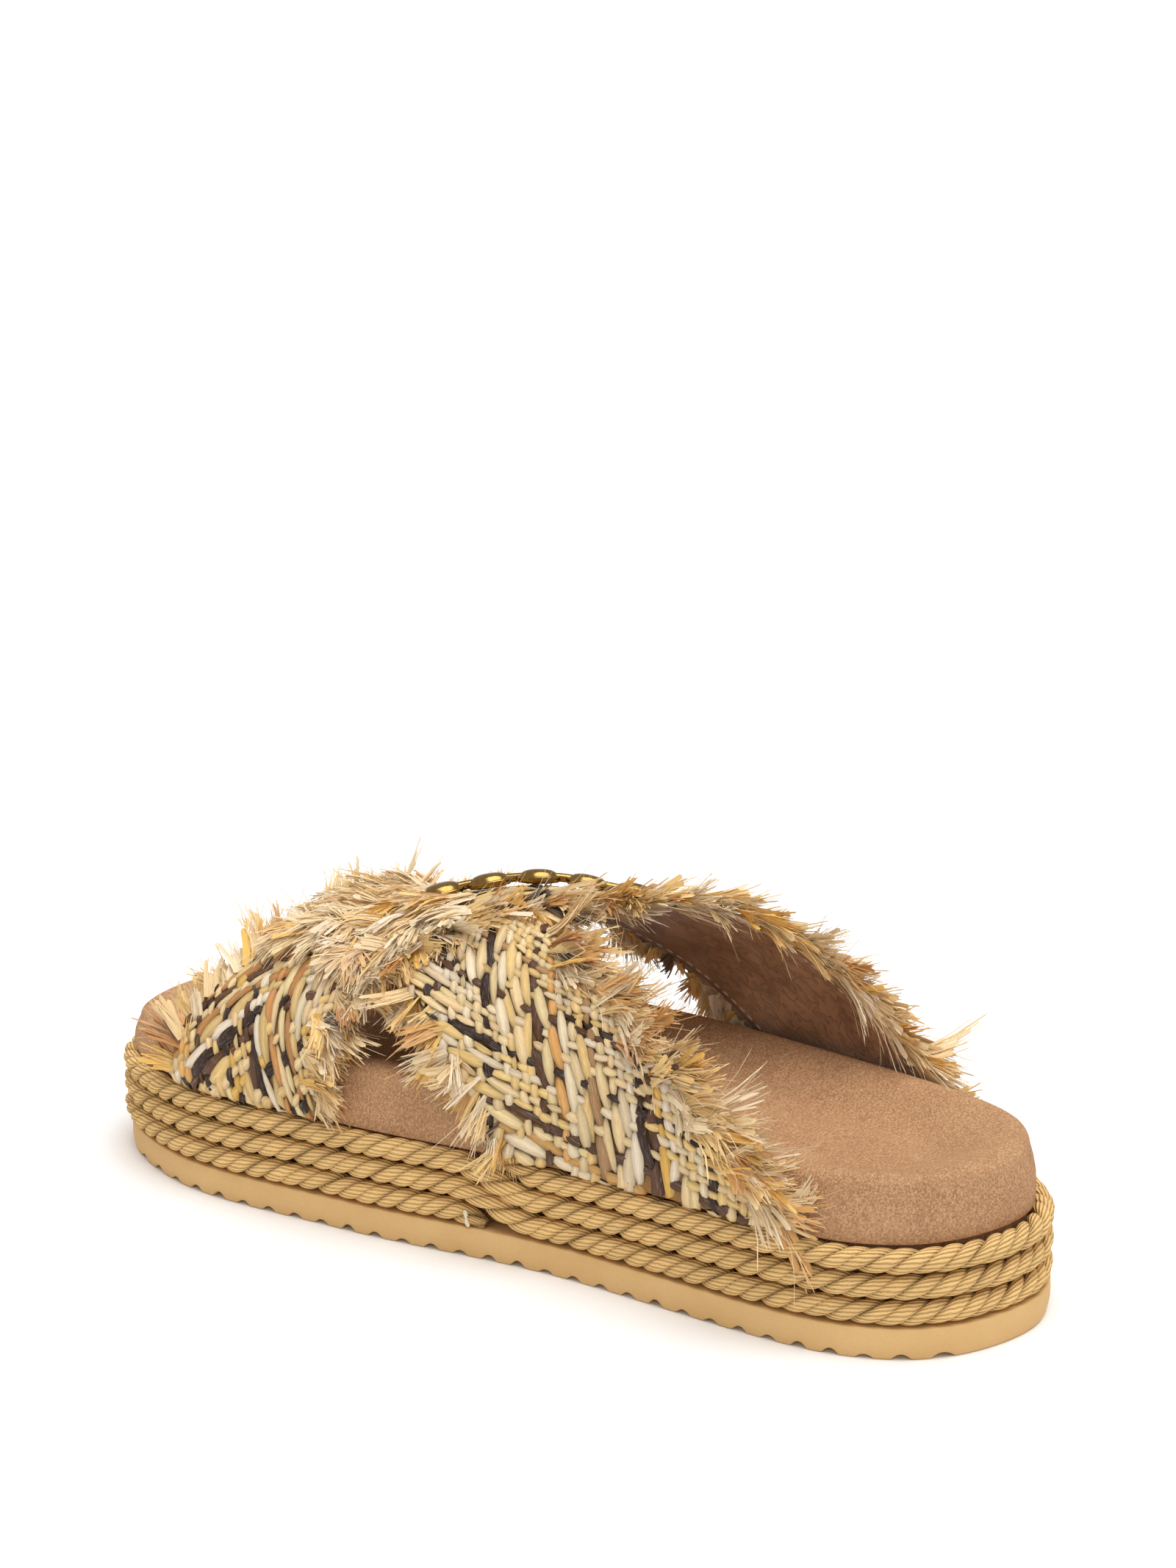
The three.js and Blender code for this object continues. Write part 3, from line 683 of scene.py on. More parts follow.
def tuck_mask(edge):
    """1 where a strap's end goes in under the footbed's side, else 0."""
    along = edge[:, 1] / SOLE_LENGTH
    mask = np.zeros(len(edge))
    for rows in (OVER_STRAP, UNDER_STRAP):
        for side, row in ((-1, rows[0]), (1, rows[-1])):
            inside = smoothstep(along, row[3] - 0.014, row[3] - 0.008)
            inside *= 1 - smoothstep(along, row[1] + 0.008, row[1] + 0.014)
            mask = np.maximum(mask, inside * (edge[:, 0] * side > 0))
    return mask


def make_footbed(material):
    edge = EDGE[::2]
    along = edge[:, 1] / SOLE_LENGTH
    across = smoothstep(edge[:, 0], -BALL_WIDTH / 2, BALL_WIDTH / 2)
    rim = ROPE_TOP + FOOTBED_RISE * (
        column(FOOTBED, 1, along) * (1 - across) + column(FOOTBED, 2, along) * across
    )
    bench, proud = edge[:, 4], edge[:, 5]
    core = proud - ROPE_DIAMETER - GAP
    underside = ROPE_TOP + GAP
    tuck = underside + (STRAP_BASE + GAP - underside) * tuck_mask(edge)
    pull = 0.25 * np.sin(edge[:, 1] / 17) + 0.18 * np.sin(edge[:, 1] / 7.1 + 1)
    side_base = tuck + 0.4
    profile = [
        (core, OUTSOLE_THICKNESS + GAP),
        (core, underside - 0.01),
        (-bench - TUCK_DEPTH, tuck),
        (-bench - 0.5, tuck),
        (-bench, side_base),
    ]
    for share in (0.25, 0.5, 0.75, 1.0):
        height = side_base + (rim - RIM_RADIUS - side_base) * share
        belly = (0.5 + pull) * math.sin(math.pi * share)
        profile.append((-bench - FOOTBED_DRAFT * share + belly, height))
    for turn in map(math.radians, QUARTER):
        inset = FOOTBED_DRAFT + RIM_RADIUS * (1 - math.cos(turn))
        profile.append((-bench - inset, rim - RIM_RADIUS * (1 - math.sin(turn))))
    rings = [ring_at(edge, out, height) for out, height in profile]
    top = rings[-1] + ORIGIN
    middle_y = np.clip(top[:, 1], DISH_LIMIT * SOLE_LENGTH, (1 - DISH_LIMIT) * SOLE_LENGTH)
    middle_x = (footbed_side(middle_y, -1) + footbed_side(middle_y, 1)) / 2
    for share in (0.03, 0.07, 0.12, 0.18, 0.25, 0.32, 0.4, 0.5, 0.6, 0.7, 0.8, 0.9, 0.97):
        x = top[:, 0] + (middle_x - top[:, 0]) * share
        y = top[:, 1] + (middle_y - top[:, 1]) * share
        bed = ROPE_TOP + FOOTBED_RISE * column(FOOTBED, 3, y / SOLE_LENGTH)
        dish = smoothstep(share, 0, DISH_WIDTH)
        trough = trough_depth(BED_TROUGHS, (BALL_WIDTH, SOLE_LENGTH), x, y)
        z = top[:, 2] + (bed - top[:, 2]) * dish - trough * smoothstep(share, 0, 0.2)
        rings.append(np.stack([x, y, z], -1) - ORIGIN)
    points, faces = loft(rings)
    return add_mesh("footbed_suede", points, faces, material, replaces=["footbed"])


# Straps

def arch_point(y, degrees):
    low, high = footbed_side(y, -1), footbed_side(y, 1)
    half = (high - low) / 2 + GAP + STRAP_WALL / 2
    angle = np.radians(degrees)
    power = 2 / ARCH_ROUNDNESS
    cos, sin = np.cos(angle), np.maximum(np.sin(angle), 0)
    rise = INSTEP_RISE * column(ARCH, 1, y / SOLE_LENGTH)
    x = (low + high) / 2 - half * np.sign(cos) * np.abs(cos) ** power
    return np.stack([x, y, STRAP_BASE + rise * sin**power], -1)


class Strap:
    """A strap's surface. v: 0 at the rear edge, 1 at the front. a: millimetres along it from its middle,
    negative towards the inner end. Its ends bend in under the footbed."""

    STATIONS = 301
    STEP = 0.6
    BAND = np.linspace(-0.1, 1.1, 49)

    def __init__(self, rows, lift):
        rows = np.array(rows, float)
        self.front, self.rear = rows[:, :2] * (1, SOLE_LENGTH), rows[:, 2:] * (1, SOLE_LENGTH)
        t = np.linspace(0, 1, self.STATIONS)[:, None] + 0 * self.BAND
        v = 0 * t + self.BAND
        normal = self.normal(t, v)
        raised = lift * smoothstep(np.minimum(t, 1 - t), LIFT_FROM, LIFT_TO)
        body = self.bare(t, v) + normal * raised[..., None]
        low, low_normal = self.tail(body[0], -1)
        high, high_normal = self.tail(body[-1], 1)
        points = np.concatenate([low[::-1], body, high])
        normals = np.concatenate([low_normal[::-1], normal, high_normal])
        run = run_along(points)
        first, last = len(low), len(low) + self.STATIONS - 1
        run -= run[(first + last) // 2]
        self.base = run[first], run[last]
        self.reach = run[0], run[-1]
        self.low = run.min()
        self.rows = int((run.max() - self.low) / self.STEP) + 1
        at = self.low + np.arange(self.rows) * self.STEP
        self.points, self.normals = np.empty((2, self.rows, len(self.BAND), 3))
        for j, k in np.ndindex(len(self.BAND), 3):
            self.points[:, j, k] = np.interp(at, run[:, j], points[:, j, k])
            self.normals[:, j, k] = np.interp(at, run[:, j], normals[:, j, k])
        self.points -= ORIGIN
        middle = len(self.BAND) // 2
        self.middle = t[:, middle], run[first:last + 1, middle]

    def bare(self, t, v):
        shape = t.shape
        t, v = t.ravel(), v.ravel()[:, None]
        place = centripetal(self.rear, t, False) * (1 - v) + centripetal(self.front, t, False) * v
        return arch_point(place[:, 1], np.clip(place[:, 0], 0, 180)).reshape(*shape, 3)

    def normal(self, t, v):
        e = 0.01
        t0 = np.clip(t, e, 1 - e)
        along = self.bare(t0 + e, v) - self.bare(t0 - e, v)
        across = self.bare(t0, v + e) - self.bare(t0, v - e)
        return unit(-np.cross(across, along))

    @staticmethod
    def tail(base, side):
        """The stretch that bends in under the footbed at one end, from its base inwards."""
        points, normals = [], []
        bends = [(math.radians(d), 0) for d in QUARTER] + [(math.pi / 2, STRAP_TAIL)]
        for turn, flat in bends:
            inward = STRAP_BEND * (1 - math.cos(turn)) + flat
            points.append(base + [-side * inward, 0, -STRAP_BEND * math.sin(turn)])
            normals.append(np.broadcast_to([side * math.cos(turn), 0, -math.sin(turn)], base.shape))
        return np.array(points), np.array(normals)

    def place(self, a, v, h):
        """Points in the part's frame."""
        a, v, h = np.broadcast_arrays(a, v, h)
        i = np.clip((a - self.low) / self.STEP, 0, self.rows - 1.001)
        j = np.clip((v - self.BAND[0]) / (self.BAND[1] - self.BAND[0]), 0, len(self.BAND) - 1.001)
        i0, j0 = i.astype(int), j.astype(int)
        wi, wj = (i - i0)[..., None], (j - j0)[..., None]

        def blend(field):
            near = field[i0, j0] * (1 - wj) + field[i0, j0 + 1] * wj
            far = field[i0 + 1, j0] * (1 - wj) + field[i0 + 1, j0 + 1] * wj
            return near * (1 - wi) + far * wi

        return blend(self.points) + unit(blend(self.normals)) * h[..., None]

    def ends(self, v):
        """a at the inner and the outer base."""
        return np.interp(v, self.BAND, self.base[0]), np.interp(v, self.BAND, self.base[1])

    def reaches(self, v):
        """a at the very tips of the tucked ends."""
        return np.interp(v, self.BAND, self.reach[0]), np.interp(v, self.BAND, self.reach[1])


OVER = Strap(OVER_STRAP, CROSSING_LIFT)
UNDER = Strap(UNDER_STRAP, 0)

LINING_INSIDE = -STRAP_WALL / 2
LINING_OUTSIDE = -0.55
# Share of the strap's width that the lining leaves bare along each edge
LINING_MARGIN = 0.06
BACKING_OUTSIDE = 0.85
# Millimetres across a strap that v from 0 to 1 stands for in its thin layers
LAYER_WIDTH = 50.0


def shell(strap, v_low, v_high, inside, outside, rows, cols, ripple=None):
    """A thin closed sheet of the strap between two heights. Points, faces and a grain of a, v, h."""
    band = np.linspace(v_low, v_high, cols)
    round_off = 0.35 * (outside - inside) / LAYER_WIDTH
    v = np.concatenate([[v_low - round_off], band, [v_high + round_off], band[::-1]])
    middle = (inside + outside) / 2
    h = np.concatenate([[middle], np.full(cols, outside), [middle], np.full(cols, inside)])
    low, high = strap.reaches(v)
    a = low + (high - low) * np.linspace(0, 1, rows)[:, None]
    v, h = (np.broadcast_to(row, a.shape).copy() for row in (v, h))
    if ripple:
        h[:, cols + 2:] += ripple(a, v)[:, cols + 2:]
    faces = [face[:, ::-1] for face in tube_faces(*a.shape)]
    return strap.place(a, v, h), faces, np.stack([a, v * LAYER_WIDTH, h], -1)


# Soft creases of the lining. Columns: a and v at one end, a and v at the other, width and depth in mm.
OVER_CREASES = [
    (38, 0.25, 60, 0.62, 3.0, 0.5),
    (58, 0.15, 82, 0.4, 3.5, 0.5),
    (70, 0.5, 96, 0.6, 2.5, 0.45),
    (84, 0.2, 104, 0.75, 3.0, 0.5),
    (-60, 0.3, -80, 0.7, 3.0, 0.4),
]
UNDER_CREASES = [
    (-52, 0.3, -70, 0.65, 3.0, 0.4),
    (-66, 0.2, -82, 0.5, 3.0, 0.4),
    (50, 0.3, 72, 0.6, 3.0, 0.4),
]


def make_lining(name, strap, creases, material):
    def ripple(a, v):
        depth = trough_depth(creases, (1, LAYER_WIDTH), a, v * LAYER_WIDTH)
        inside = smoothstep(np.minimum(v, 1 - v), LINING_MARGIN, 0.15)
        return (depth + 0.12 * np.sin(a / 5 + 4 * np.sin(v * 7))) * inside

    edges = LINING_MARGIN, 1 - LINING_MARGIN
    points, faces, grain = shell(strap, *edges, LINING_INSIDE, LINING_OUTSIDE, 260, 30, ripple)
    return add_mesh(name, points, faces, material, grain=grain * (0.2, 0.34, 0.3))


def make_backing(name, strap, material, replaces=()):
    points, faces, grain = shell(strap, 0.0, 1.0, LINING_OUTSIDE + 0.02, BACKING_OUTSIDE, 200, 14)
    # The outer face is dark brown: painted shade, so that the gaps between the leaves read as shadowed
    # raffia. The inner face has the backing's own pale grey.
    outside = grain[..., 2:] > (LINING_OUTSIDE + BACKING_OUTSIDE) / 2 + 0.1
    tint = np.where(outside, linear(158, 118, 74), linear(196, 184, 164))
    return add_mesh(name, points, faces, material, tint, grain, replaces)


def make_stitches(material):
    """A row of short stitches near both edges of each lining."""
    heap = Heap()
    long, thick, pitch = 2.0, 0.36, 3.1
    stations = np.array([-1, -0.7, 0, 0.7, 1.0])[:, None] * long / 2
    swell = np.array([0.15, 0.8, 1, 0.8, 0.15])[:, None] * thick / 2
    angle = turns(6)
    for strap in (OVER, UNDER):
        for v in (0.095, 0.905):
            low, high = strap.ends(v)
            at = np.arange(low + 3, high - 3, pitch)
            at = at + rng.uniform(-0.15, 0.15, len(at))
            v_points = v + swell * np.cos(angle) / LAYER_WIDTH
            deep = LINING_INSIDE - 0.05 + swell * np.sin(angle)
            points = strap.place(at[:, None, None] + stations, v_points, deep)
            heap.add(points, tube_faces(len(stations), len(angle)), linear(236, 228, 216), points)
    return heap.piece("lining_stitches", material, "raffia")


# Raffia colours
INK = {name: linear(*shade) for name, shade in {
    "bleached": (255, 235, 202),
    "cream": (250, 219, 165),
    "ivory": (254, 233, 196),
    "white": (254, 236, 208),
    "rose": (250, 223, 184),
    "pale": (245, 218, 164),
    "straw": (245, 208, 137),
    "yellow": (242, 193, 96),
    "gold": (229, 174, 100),
    "amber": (208, 148, 86),
    "tan": (186, 144, 98),
    "brown": (98, 62, 36),
    "dark": (56, 31, 15),
}.items()}

# Weave. Its columns run along the strap, and the band is as wide as all of them together.
COLUMNS = 34
BAND_WIDTH = 51.0
# Angle between a strand and the strap's length
STRAND_LEAN = math.radians(34)
COLUMN_PITCH = BAND_WIDTH / COLUMNS
ROW_PITCH = COLUMN_PITCH / math.tan(STRAND_LEAN)
STRAND_PITCH = 2 * COLUMN_PITCH * math.cos(STRAND_LEAN)
# Length of strand from one crossing to the next
CROSSING_PITCH = COLUMN_PITCH / math.sin(STRAND_LEAN)
# Length of the strap that each colour of the bands takes
INK_PITCH = 3.4
# How far each leaf is turned from its strand towards the strap's length, in radians
TILE_YAW = 0.05
# Short leaves and long ones that float over more than two crossings. Columns: length past their
# crossings and width, as shares of the pitches, least and greatest dome, and height over the others
LEAVES = [(1.1, 1.06, 0.4, 0.65, 0.0), (1.4, 1.32, 0.3, 0.5, 0.15)]

# Colours of the strands of one band after another, from the crossing towards the inner base
UNDER_BANDS = [
    ["tan", "cream", "straw", "cream", "rose", "white", "straw", "dark"],
    ["brown", "yellow", "white", "rose", "pale", "cream", "ivory", "pale"],
    ["dark", "straw", "cream", "ivory", "straw", "cream", "cream", "straw"],
    ["brown", "pale", "cream", "gold", "ivory", "pale", "cream", "straw"],
]
OVER_BANDS = [
    ["gold", "cream", "rose", "cream", "tan", "ivory", "straw", "amber"],
    ["brown", "pale", "cream", "amber", "straw", "cream", "white", "dark"],
    ["brown", "yellow", "straw", "cream", "yellow", "pale", "dark", "cream"],
    ["straw", "tan", "cream", "dark", "brown", "pale", "cream", "gold"],
]


def add_tiles(heap, strap, rows, stations, tip):
    """Domed leaves that lie on a strap. rows: list of (a, v, turn, length, width, dome, lift, colour).
    a, v: a leaf's middle. turn: its direction, +1 or -1 across."""
    if not rows:
        return
    one_each = (len(rows), 1, 1)
    *measures, ink = zip(*rows)
    a, v, turn, length, width, dome, lift = (np.reshape(values, one_each) for values in measures)
    s = np.linspace(-1, 1, stations)[:, None]
    half = np.array([-1, -0.78, 0, 0.78, 1, 0])
    arc = np.array([0, 0.8, 1, 0.8, 0, -0.35])
    shape = (1 - np.abs(s) ** (tip * rng.uniform(0.8, 1.6, one_each))) ** 0.8
    along = s * length / 2
    lean = STRAND_LEAN + rng.normal(-TILE_YAW, 0.09, one_each)
    across = half * width / 2 * (0.1 + 0.9 * shape) + rng.normal(0, 0.35, one_each) * (1 - s**2)
    da = along * np.cos(lean) - across * np.sin(lean) * turn
    db = along * np.sin(lean) * turn + across * np.cos(lean)
    roll = rng.normal(0, 0.55, one_each) * half
    height = lift + dome * (arc * (0.35 + 0.65 * shape) + roll) - 0.75 * np.abs(s) ** 3
    v_points = v + db / BAND_WIDTH
    low, high = strap.ends(v_points)
    points = strap.place(np.clip(a + da, low - 3.5, high + 3.5), v_points, height)
    shade = 1 - 0.55 * np.abs(s) ** 4 - 0.52 * np.abs(half) ** 3
    grain = np.stack(np.broadcast_arrays(along * 0.35, across * 5.0, a * 7.7 + v * 91), -1)
    tint = np.array(ink)[:, None, None] * shade[..., None]
    heap.add(points, tube_faces(stations, len(half)), tint, grain)


def strand_ink(bands, phase):
    """Colour of the strand whose distance from the first band's start is phase."""
    strands = [name for band in bands for name in band]
    k = math.floor(phase / INK_PITCH)
    name = strands[(k if k >= 0 else -3 * k) % len(strands)]
    return keep_hue(INK[name] * (1 + rng.normal(0, 0.07)) * (1 + rng.normal(0, 0.01, 3)))


def make_weave(name, strap, bands, first_phase, vertex, zones, points_inward, covered, material):
    """vertex: v of the chevrons' points. zones: (first column, last column, float lengths or None).
    points_inward: the chevrons point at the strap's inner end. covered: half length, from the strap's
    middle, that the other strap hides."""
    heap = Heap()
    shift = vertex * COLUMNS
    inks = {}

    def ink(family, k):
        if (family, k) not in inks:
            point = (2 * k + (shift if family == "j" else -shift)) * ROW_PITCH
            inks[family, k] = strand_ink(bands, first_phase - point)
        return inks[family, k]

    def on_top(family, own, c, strand):
        """Whether a strand lies over the others at a column. own: it is one of its arm's, which float."""
        first, run = next((first, run) for first, last, run in zones if first <= c <= last)
        if run is None:
            return (c % 2 == 0) == (family == "j")
        place = (c - first + (strand % 2) * (run // 2 + 1)) % (run + 1)
        return (place != run) == own

    arm_left, arm_right = "ij" if points_inward else "ji"
    leaves = [], []
    high = strap.low + strap.rows * strap.STEP
    first_row, last_row = int(strap.low / ROW_PITCH) - COLUMNS, int(high / ROW_PITCH) + COLUMNS
    for family, slope in (("i", -1), ("j", 1)):
        for k in range(first_row // 2, last_row // 2 + 1):
            run = []
            for c in range(COLUMNS + 1):
                shown = False
                if c < COLUMNS:
                    arm = arm_left if (c + 0.5) / COLUMNS < vertex else arm_right
                    own = family == arm
                    shown = on_top(family, own, c, k if own else k + slope * c)
                if shown:
                    run.append(c)
                    continue
                if run:
                    mid = (run[0] + run[-1]) / 2
                    a, v = (2 * k + slope * mid) * ROW_PITCH, (mid + 0.5) / COLUMNS
                    base_in, base_out = strap.ends(v)
                    if base_in - 3 < a < base_out + 3 and abs(a) > covered:
                        long = len(run) > 2
                        past, wide, least, most, raised = LEAVES[long]
                        length = CROSSING_PITCH * (len(run) + past) * rng.uniform(0.92, 1.08)
                        width = STRAND_PITCH * wide * rng.uniform(0.85, 1.15)
                        dome = rng.uniform(least, most)
                        lift = BACKING_OUTSIDE + rng.uniform(0.3, 0.6) + raised
                        leaves[long].append((a, v, slope, length, width, dome, lift, ink(family, k)))
                run = []
    add_tiles(heap, strap, leaves[True], 8, 2.0)
    add_tiles(heap, strap, leaves[False], 6, 1.9)
    return heap.piece(name, material, "raffia", crisp=60)


# Fibres

def fibre_stations(count):
    """Shares along a fibre, with the last two close together, so that its end is blunt."""
    return np.append(np.linspace(0, 0.95, count - 1), 1.0)


def add_fibres(heap, lines, side, width, flat, twist, tint, taper):
    """Tapered fibres with a three-sided section. lines: (n, stations, 3). side: (n, 3), the way their
    flat face spreads. tint: (n, 3). taper: share of the width left by the last station."""
    n, stations = lines.shape[:2]
    tangent = unit(np.gradient(lines, axis=1))
    side = side[:, None]
    spread = unit(side - tangent * np.sum(side * tangent, axis=-1, keepdims=True))
    rise = np.cross(tangent, spread)
    s = fibre_stations(stations)[:, None]
    angle = twist[:, None, None] * s
    across = spread * np.cos(angle) + rise * np.sin(angle)
    deep = rise * np.cos(angle) - spread * np.sin(angle)
    wide = width[:, None, None] * (1 - (1 - taper) * s**1.5)
    corners = lines - across * wide / 2, lines + across * wide / 2, lines + deep * wide * flat
    rings = np.stack(corners, axis=2)[:, :-1]
    points = np.concatenate([rings.reshape(n, -1, 3), lines[:, -1:]], axis=1)
    last, tip = (stations - 2) * 3, (stations - 1) * 3
    ends = [(0, 2, 1), (last, last + 1, tip), (last + 1, last + 2, tip), (last + 2, last, tip)]
    reach = np.append(np.repeat(s[:-1, 0], 3), 1.0)
    # Darker near the root: painted shade where the fibres bunch together.
    color = tint[:, None] * (0.92 + 0.12 * smoothstep(reach, 0, 0.5))[:, None]
    length = np.linalg.norm(lines[:, -1] - lines[:, 0], axis=1)[:, None]
    u = np.append(np.tile([-1.0, 1.0, 0.0], stations - 1), 0.0) * width[:, None] * 4
    grain = np.stack(np.broadcast_arrays(reach * length * 0.3, u, np.arange(n)[:, None] * 3.7), -1)
    heap.add(points, [grid_faces(stations - 1, 3, True), np.array(ends)], keep_hue(color), grain)


# Colours of the frayed strands and how often each comes
FRINGE_INKS = [
    ("cream", 8), ("ivory", 6), ("white", 2), ("pale", 2.5), ("straw", 6), ("yellow", 4),
    ("gold", 2.2), ("amber", 0.5), ("tan", 0.2), ("brown", 0.3), ("dark", 0.25),
]


def pick_inks(count):
    weight = np.array([w for _, w in FRINGE_INKS])
    chosen = rng.choice(len(weight), count, p=weight / weight.sum())
    inks = np.array([INK[name] for name, _ in FRINGE_INKS])[chosen]
    return keep_hue(inks * (1 + rng.normal(0, 0.06, (count, 1))))


# A fringe has tufts this far apart along the edge, in this many layers
TUFT_PITCH = 3.3
TUFT_LAYERS = 3
# How much farther from the inner end the thatch stops at the rear edge than at the front edge
THATCH_SLANT = 20.0
# How far fibres may reach to either side of the sandal's middle and above the floor
SIDE_LIMIT = 57.0
TOP_LIMIT = 107.0
# What one frayed strand is made of: ribbons, the fibres that split off them and a few hairs. Columns:
# how many, stations, range of widths, thickness as a share of the width, range of lengths as shares of
# the strand's, bend, share of the width left at the tip, and how far they may be bleached
BRUSH = [
    (5, 5, (0.9, 1.9), 0.08, (0.55, 0.92), 0.12, 0.8, 0.1),
    (11, 5, (0.3, 0.62), 0.2, (0.72, 1.04), 0.2, 0.7, 0.35),
    (6, 6, (0.1, 0.2), 0.6, (0.8, 1.12), 0.4, 0.6, 0.6),
]


def keep_within(lines):
    """Shortens the fibres that would reach past the limits."""
    start = lines[:, :1]
    beside, above = np.abs(start[..., 0]), start[..., 2]
    far = np.abs(lines[..., 0]).max(axis=1, keepdims=True) - beside
    high = lines[..., 2].max(axis=1, keepdims=True) - above
    sideways = (SIDE_LIMIT - beside) / np.maximum(far, 1e-6)
    upward = (TOP_LIMIT - above) / np.maximum(high, 1e-6)
    return start + (lines - start) * np.clip(np.minimum(sideways, upward), 0.05, 1)[..., None]


def fill_brushes(heap, lines, broad, normal, tint):
    """Frayed strands, each a flat brush of fibres. broad and normal: the ways across each brush and off
    its flat side. lines(pick, across, s, bend): points of fibres of the picked brushes, at a place across
    each from -1 to 1 and at shares s along it."""
    for each, stations, width, flat, share, curl, taper, pale in BRUSH:
        pick = np.repeat(np.arange(len(tint)), each)
        total = len(pick)
        across = np.tile(np.linspace(-1, 1, each), len(tint)) * 0.85 + rng.normal(0, 0.16, total)
        s = fibre_stations(stations) * rng.uniform(*share, total)[:, None]
        line = keep_within(lines(pick, across, s, rng.uniform(-curl, curl, (total, 2))))
        facing = unit(broad[pick] + normal[pick] * rng.normal(0, 0.45, total)[:, None])
        lighter = rng.uniform(0, pale, (total, 1))
        color = tint[pick] * (1 + rng.normal(0, 0.07, (total, 1)))
        color = color * (1 - lighter) + INK["bleached"] * lighter
        thick = rng.uniform(*width, total)
        add_fibres(heap, line, facing, thick, flat, rng.normal(0, 0.5, total), color, taper)


def make_fringe(name, strap, v_edge, gaps, reach, lift, leans, droop, material):
    """Frayed strand ends along an edge. gaps: stretches of a with no fringe. reach: shortest and longest
    in millimetres. lift: mean and spread of degrees off the surface. leans: mean degrees that the tufts
    lean towards the base, on the inner and the outer half. droop: share that a tip sinks."""
    low, high = strap.ends(v_edge)
    rows = []
    for layer in range(TUFT_LAYERS):
        at = np.arange(low + 1.5, high - 1.5, TUFT_PITCH) + TUFT_PITCH * layer / TUFT_LAYERS
        rows.append(at + rng.uniform(-0.7, 0.7, len(at)))
    a = np.concatenate(rows)
    layer = np.repeat(np.arange(TUFT_LAYERS), [len(row) for row in rows])
    for first, last in gaps:
        keep = (a < first) | (a > last)
        a, layer = a[keep], layer[keep]
    count = len(a)
    side = 1 if v_edge > 0.5 else -1
    h = -0.9 + 0.95 * layer + rng.uniform(-0.2, 0.3, count)
    root = strap.place(a, v_edge - side * rng.uniform(0.0, 0.04 + 0.04 * layer, count), h)
    edge = strap.place(a, v_edge, h)
    normal = unit(strap.place(a, v_edge, h + 1.0) - edge)
    along = unit(strap.place(a + 1.5, v_edge, h) - strap.place(a - 1.5, v_edge, h))
    away = unit(np.cross(normal, along))
    outward = edge - strap.place(a, v_edge - 0.05 * side, h)
    away *= np.sign(np.sum(away * outward, axis=-1, keepdims=True))
    outer = smoothstep(a, -12, 12)
    lean = leans[1] * outer - leans[0] * (1 - outer)
    slant = np.radians(lean + np.where(layer % 2 == 0, 15, -15) + rng.normal(0, 15, count))[:, None]
    tilt = np.radians(lift[0] + rng.normal(0, lift[1], count) + 6 * (layer - 1))[:, None]
    flat = away * np.cos(slant) + along * np.sin(slant)
    main = unit(flat * np.cos(tilt) + normal * np.sin(tilt))
    wave = 0.5 + 0.4 * np.sin(a * 0.31 + 3 * v_edge) * np.sin(a * 0.117 + 1)
    length = reach[0] + (reach[1] - reach[0]) * np.clip(wave + rng.normal(0, 0.25, count), 0, 1)
    roll = rng.normal(0, 0.5, count)[:, None]
    level = unit(np.cross(main, normal))
    broad = level * np.cos(roll) + unit(np.cross(main, level)) * np.sin(roll)
    half = rng.uniform(0.9, 2.0, count)
    fan = rng.uniform(0.03, 0.14, count)
    sweep = rng.normal(0, 0.18, (count, 2))
    sink = np.array([0, 0, -droop])

    def lines(pick, across, s, bend):
        wide = (across * half[pick])[:, None]
        start = root[pick] + broad[pick] * wide
        way = unit(main[pick] + broad[pick] * wide * fan[pick][:, None])
        bend = bend + sweep[pick]
        curve = broad[pick] * bend[:, :1] + normal[pick] * bend[:, 1:] + sink
        far = length[pick][:, None, None] * s[..., None]
        return start[:, None] + far * (way[:, None] + curve[:, None] * s[..., None])

    heap = Heap()
    fill_brushes(heap, lines, broad, normal, pick_inks(count))
    return heap.piece(name, material, "raffia", crisp=30)


def make_thatch(name, strap, stretch, band, reach, height, count, material):
    """Frayed strands that lie over a strap's weave and point at its inner end, fanned to both edges.
    stretch and band: range of a and v of their roots. height: millimetres above the weave."""
    v = rng.uniform(*band, count)
    near = stretch[0] + THATCH_SLANT * (1 - v)
    a = near + (stretch[1] - near) * rng.uniform(0, 1, count)
    turn = np.radians((v - 0.5) * 85 + rng.normal(8, 38, count))
    length = rng.uniform(*reach, count)
    half = rng.uniform(1.0, 2.0, count)
    fan = rng.uniform(0.04, 0.15, count)
    base = rng.uniform(0.1, 1.2, count)
    bow = rng.uniform(*height, count)
    rise = np.maximum(rng.normal(0, 0.16, count), 0)

    def lines(pick, across, s, bend):
        wide = across * half[pick]
        way = (turn[pick] + wide * fan[pick])[:, None]
        far = length[pick][:, None] * s
        side = wide[:, None] + far * s * bend[:, :1]
        at = a[pick][:, None] - np.cos(way) * far + np.sin(way) * side
        v_at = v[pick][:, None] + (np.sin(way) * far + np.cos(way) * side) / BAND_WIDTH
        lift = base[pick][:, None] + bow[pick][:, None] * np.sin(2.4 * s)
        lift += far * s * (rise[pick][:, None] + 0.5 * bend[:, 1:])
        above = BACKING_OUTSIDE + 0.9 + np.maximum(lift, -0.4)
        return strap.place(at, np.clip(v_at, -0.095, 1.095), above)

    root = strap.place(a, v, 1.0)
    normal = unit(strap.place(a, v, 2.0) - root)
    ahead = unit(strap.place(a - 2 * np.cos(turn), v + 2 * np.sin(turn) / BAND_WIDTH, 1.0) - root)
    white = rng.uniform(0, 0.75, (count, 1))
    tint = pick_inks(count) * (1 - white) + INK["bleached"] * white
    heap = Heap()
    fill_brushes(heap, lines, unit(np.cross(ahead, normal)), normal, tint)
    return heap.piece(name, material, "raffia", crisp=30)


# Beads

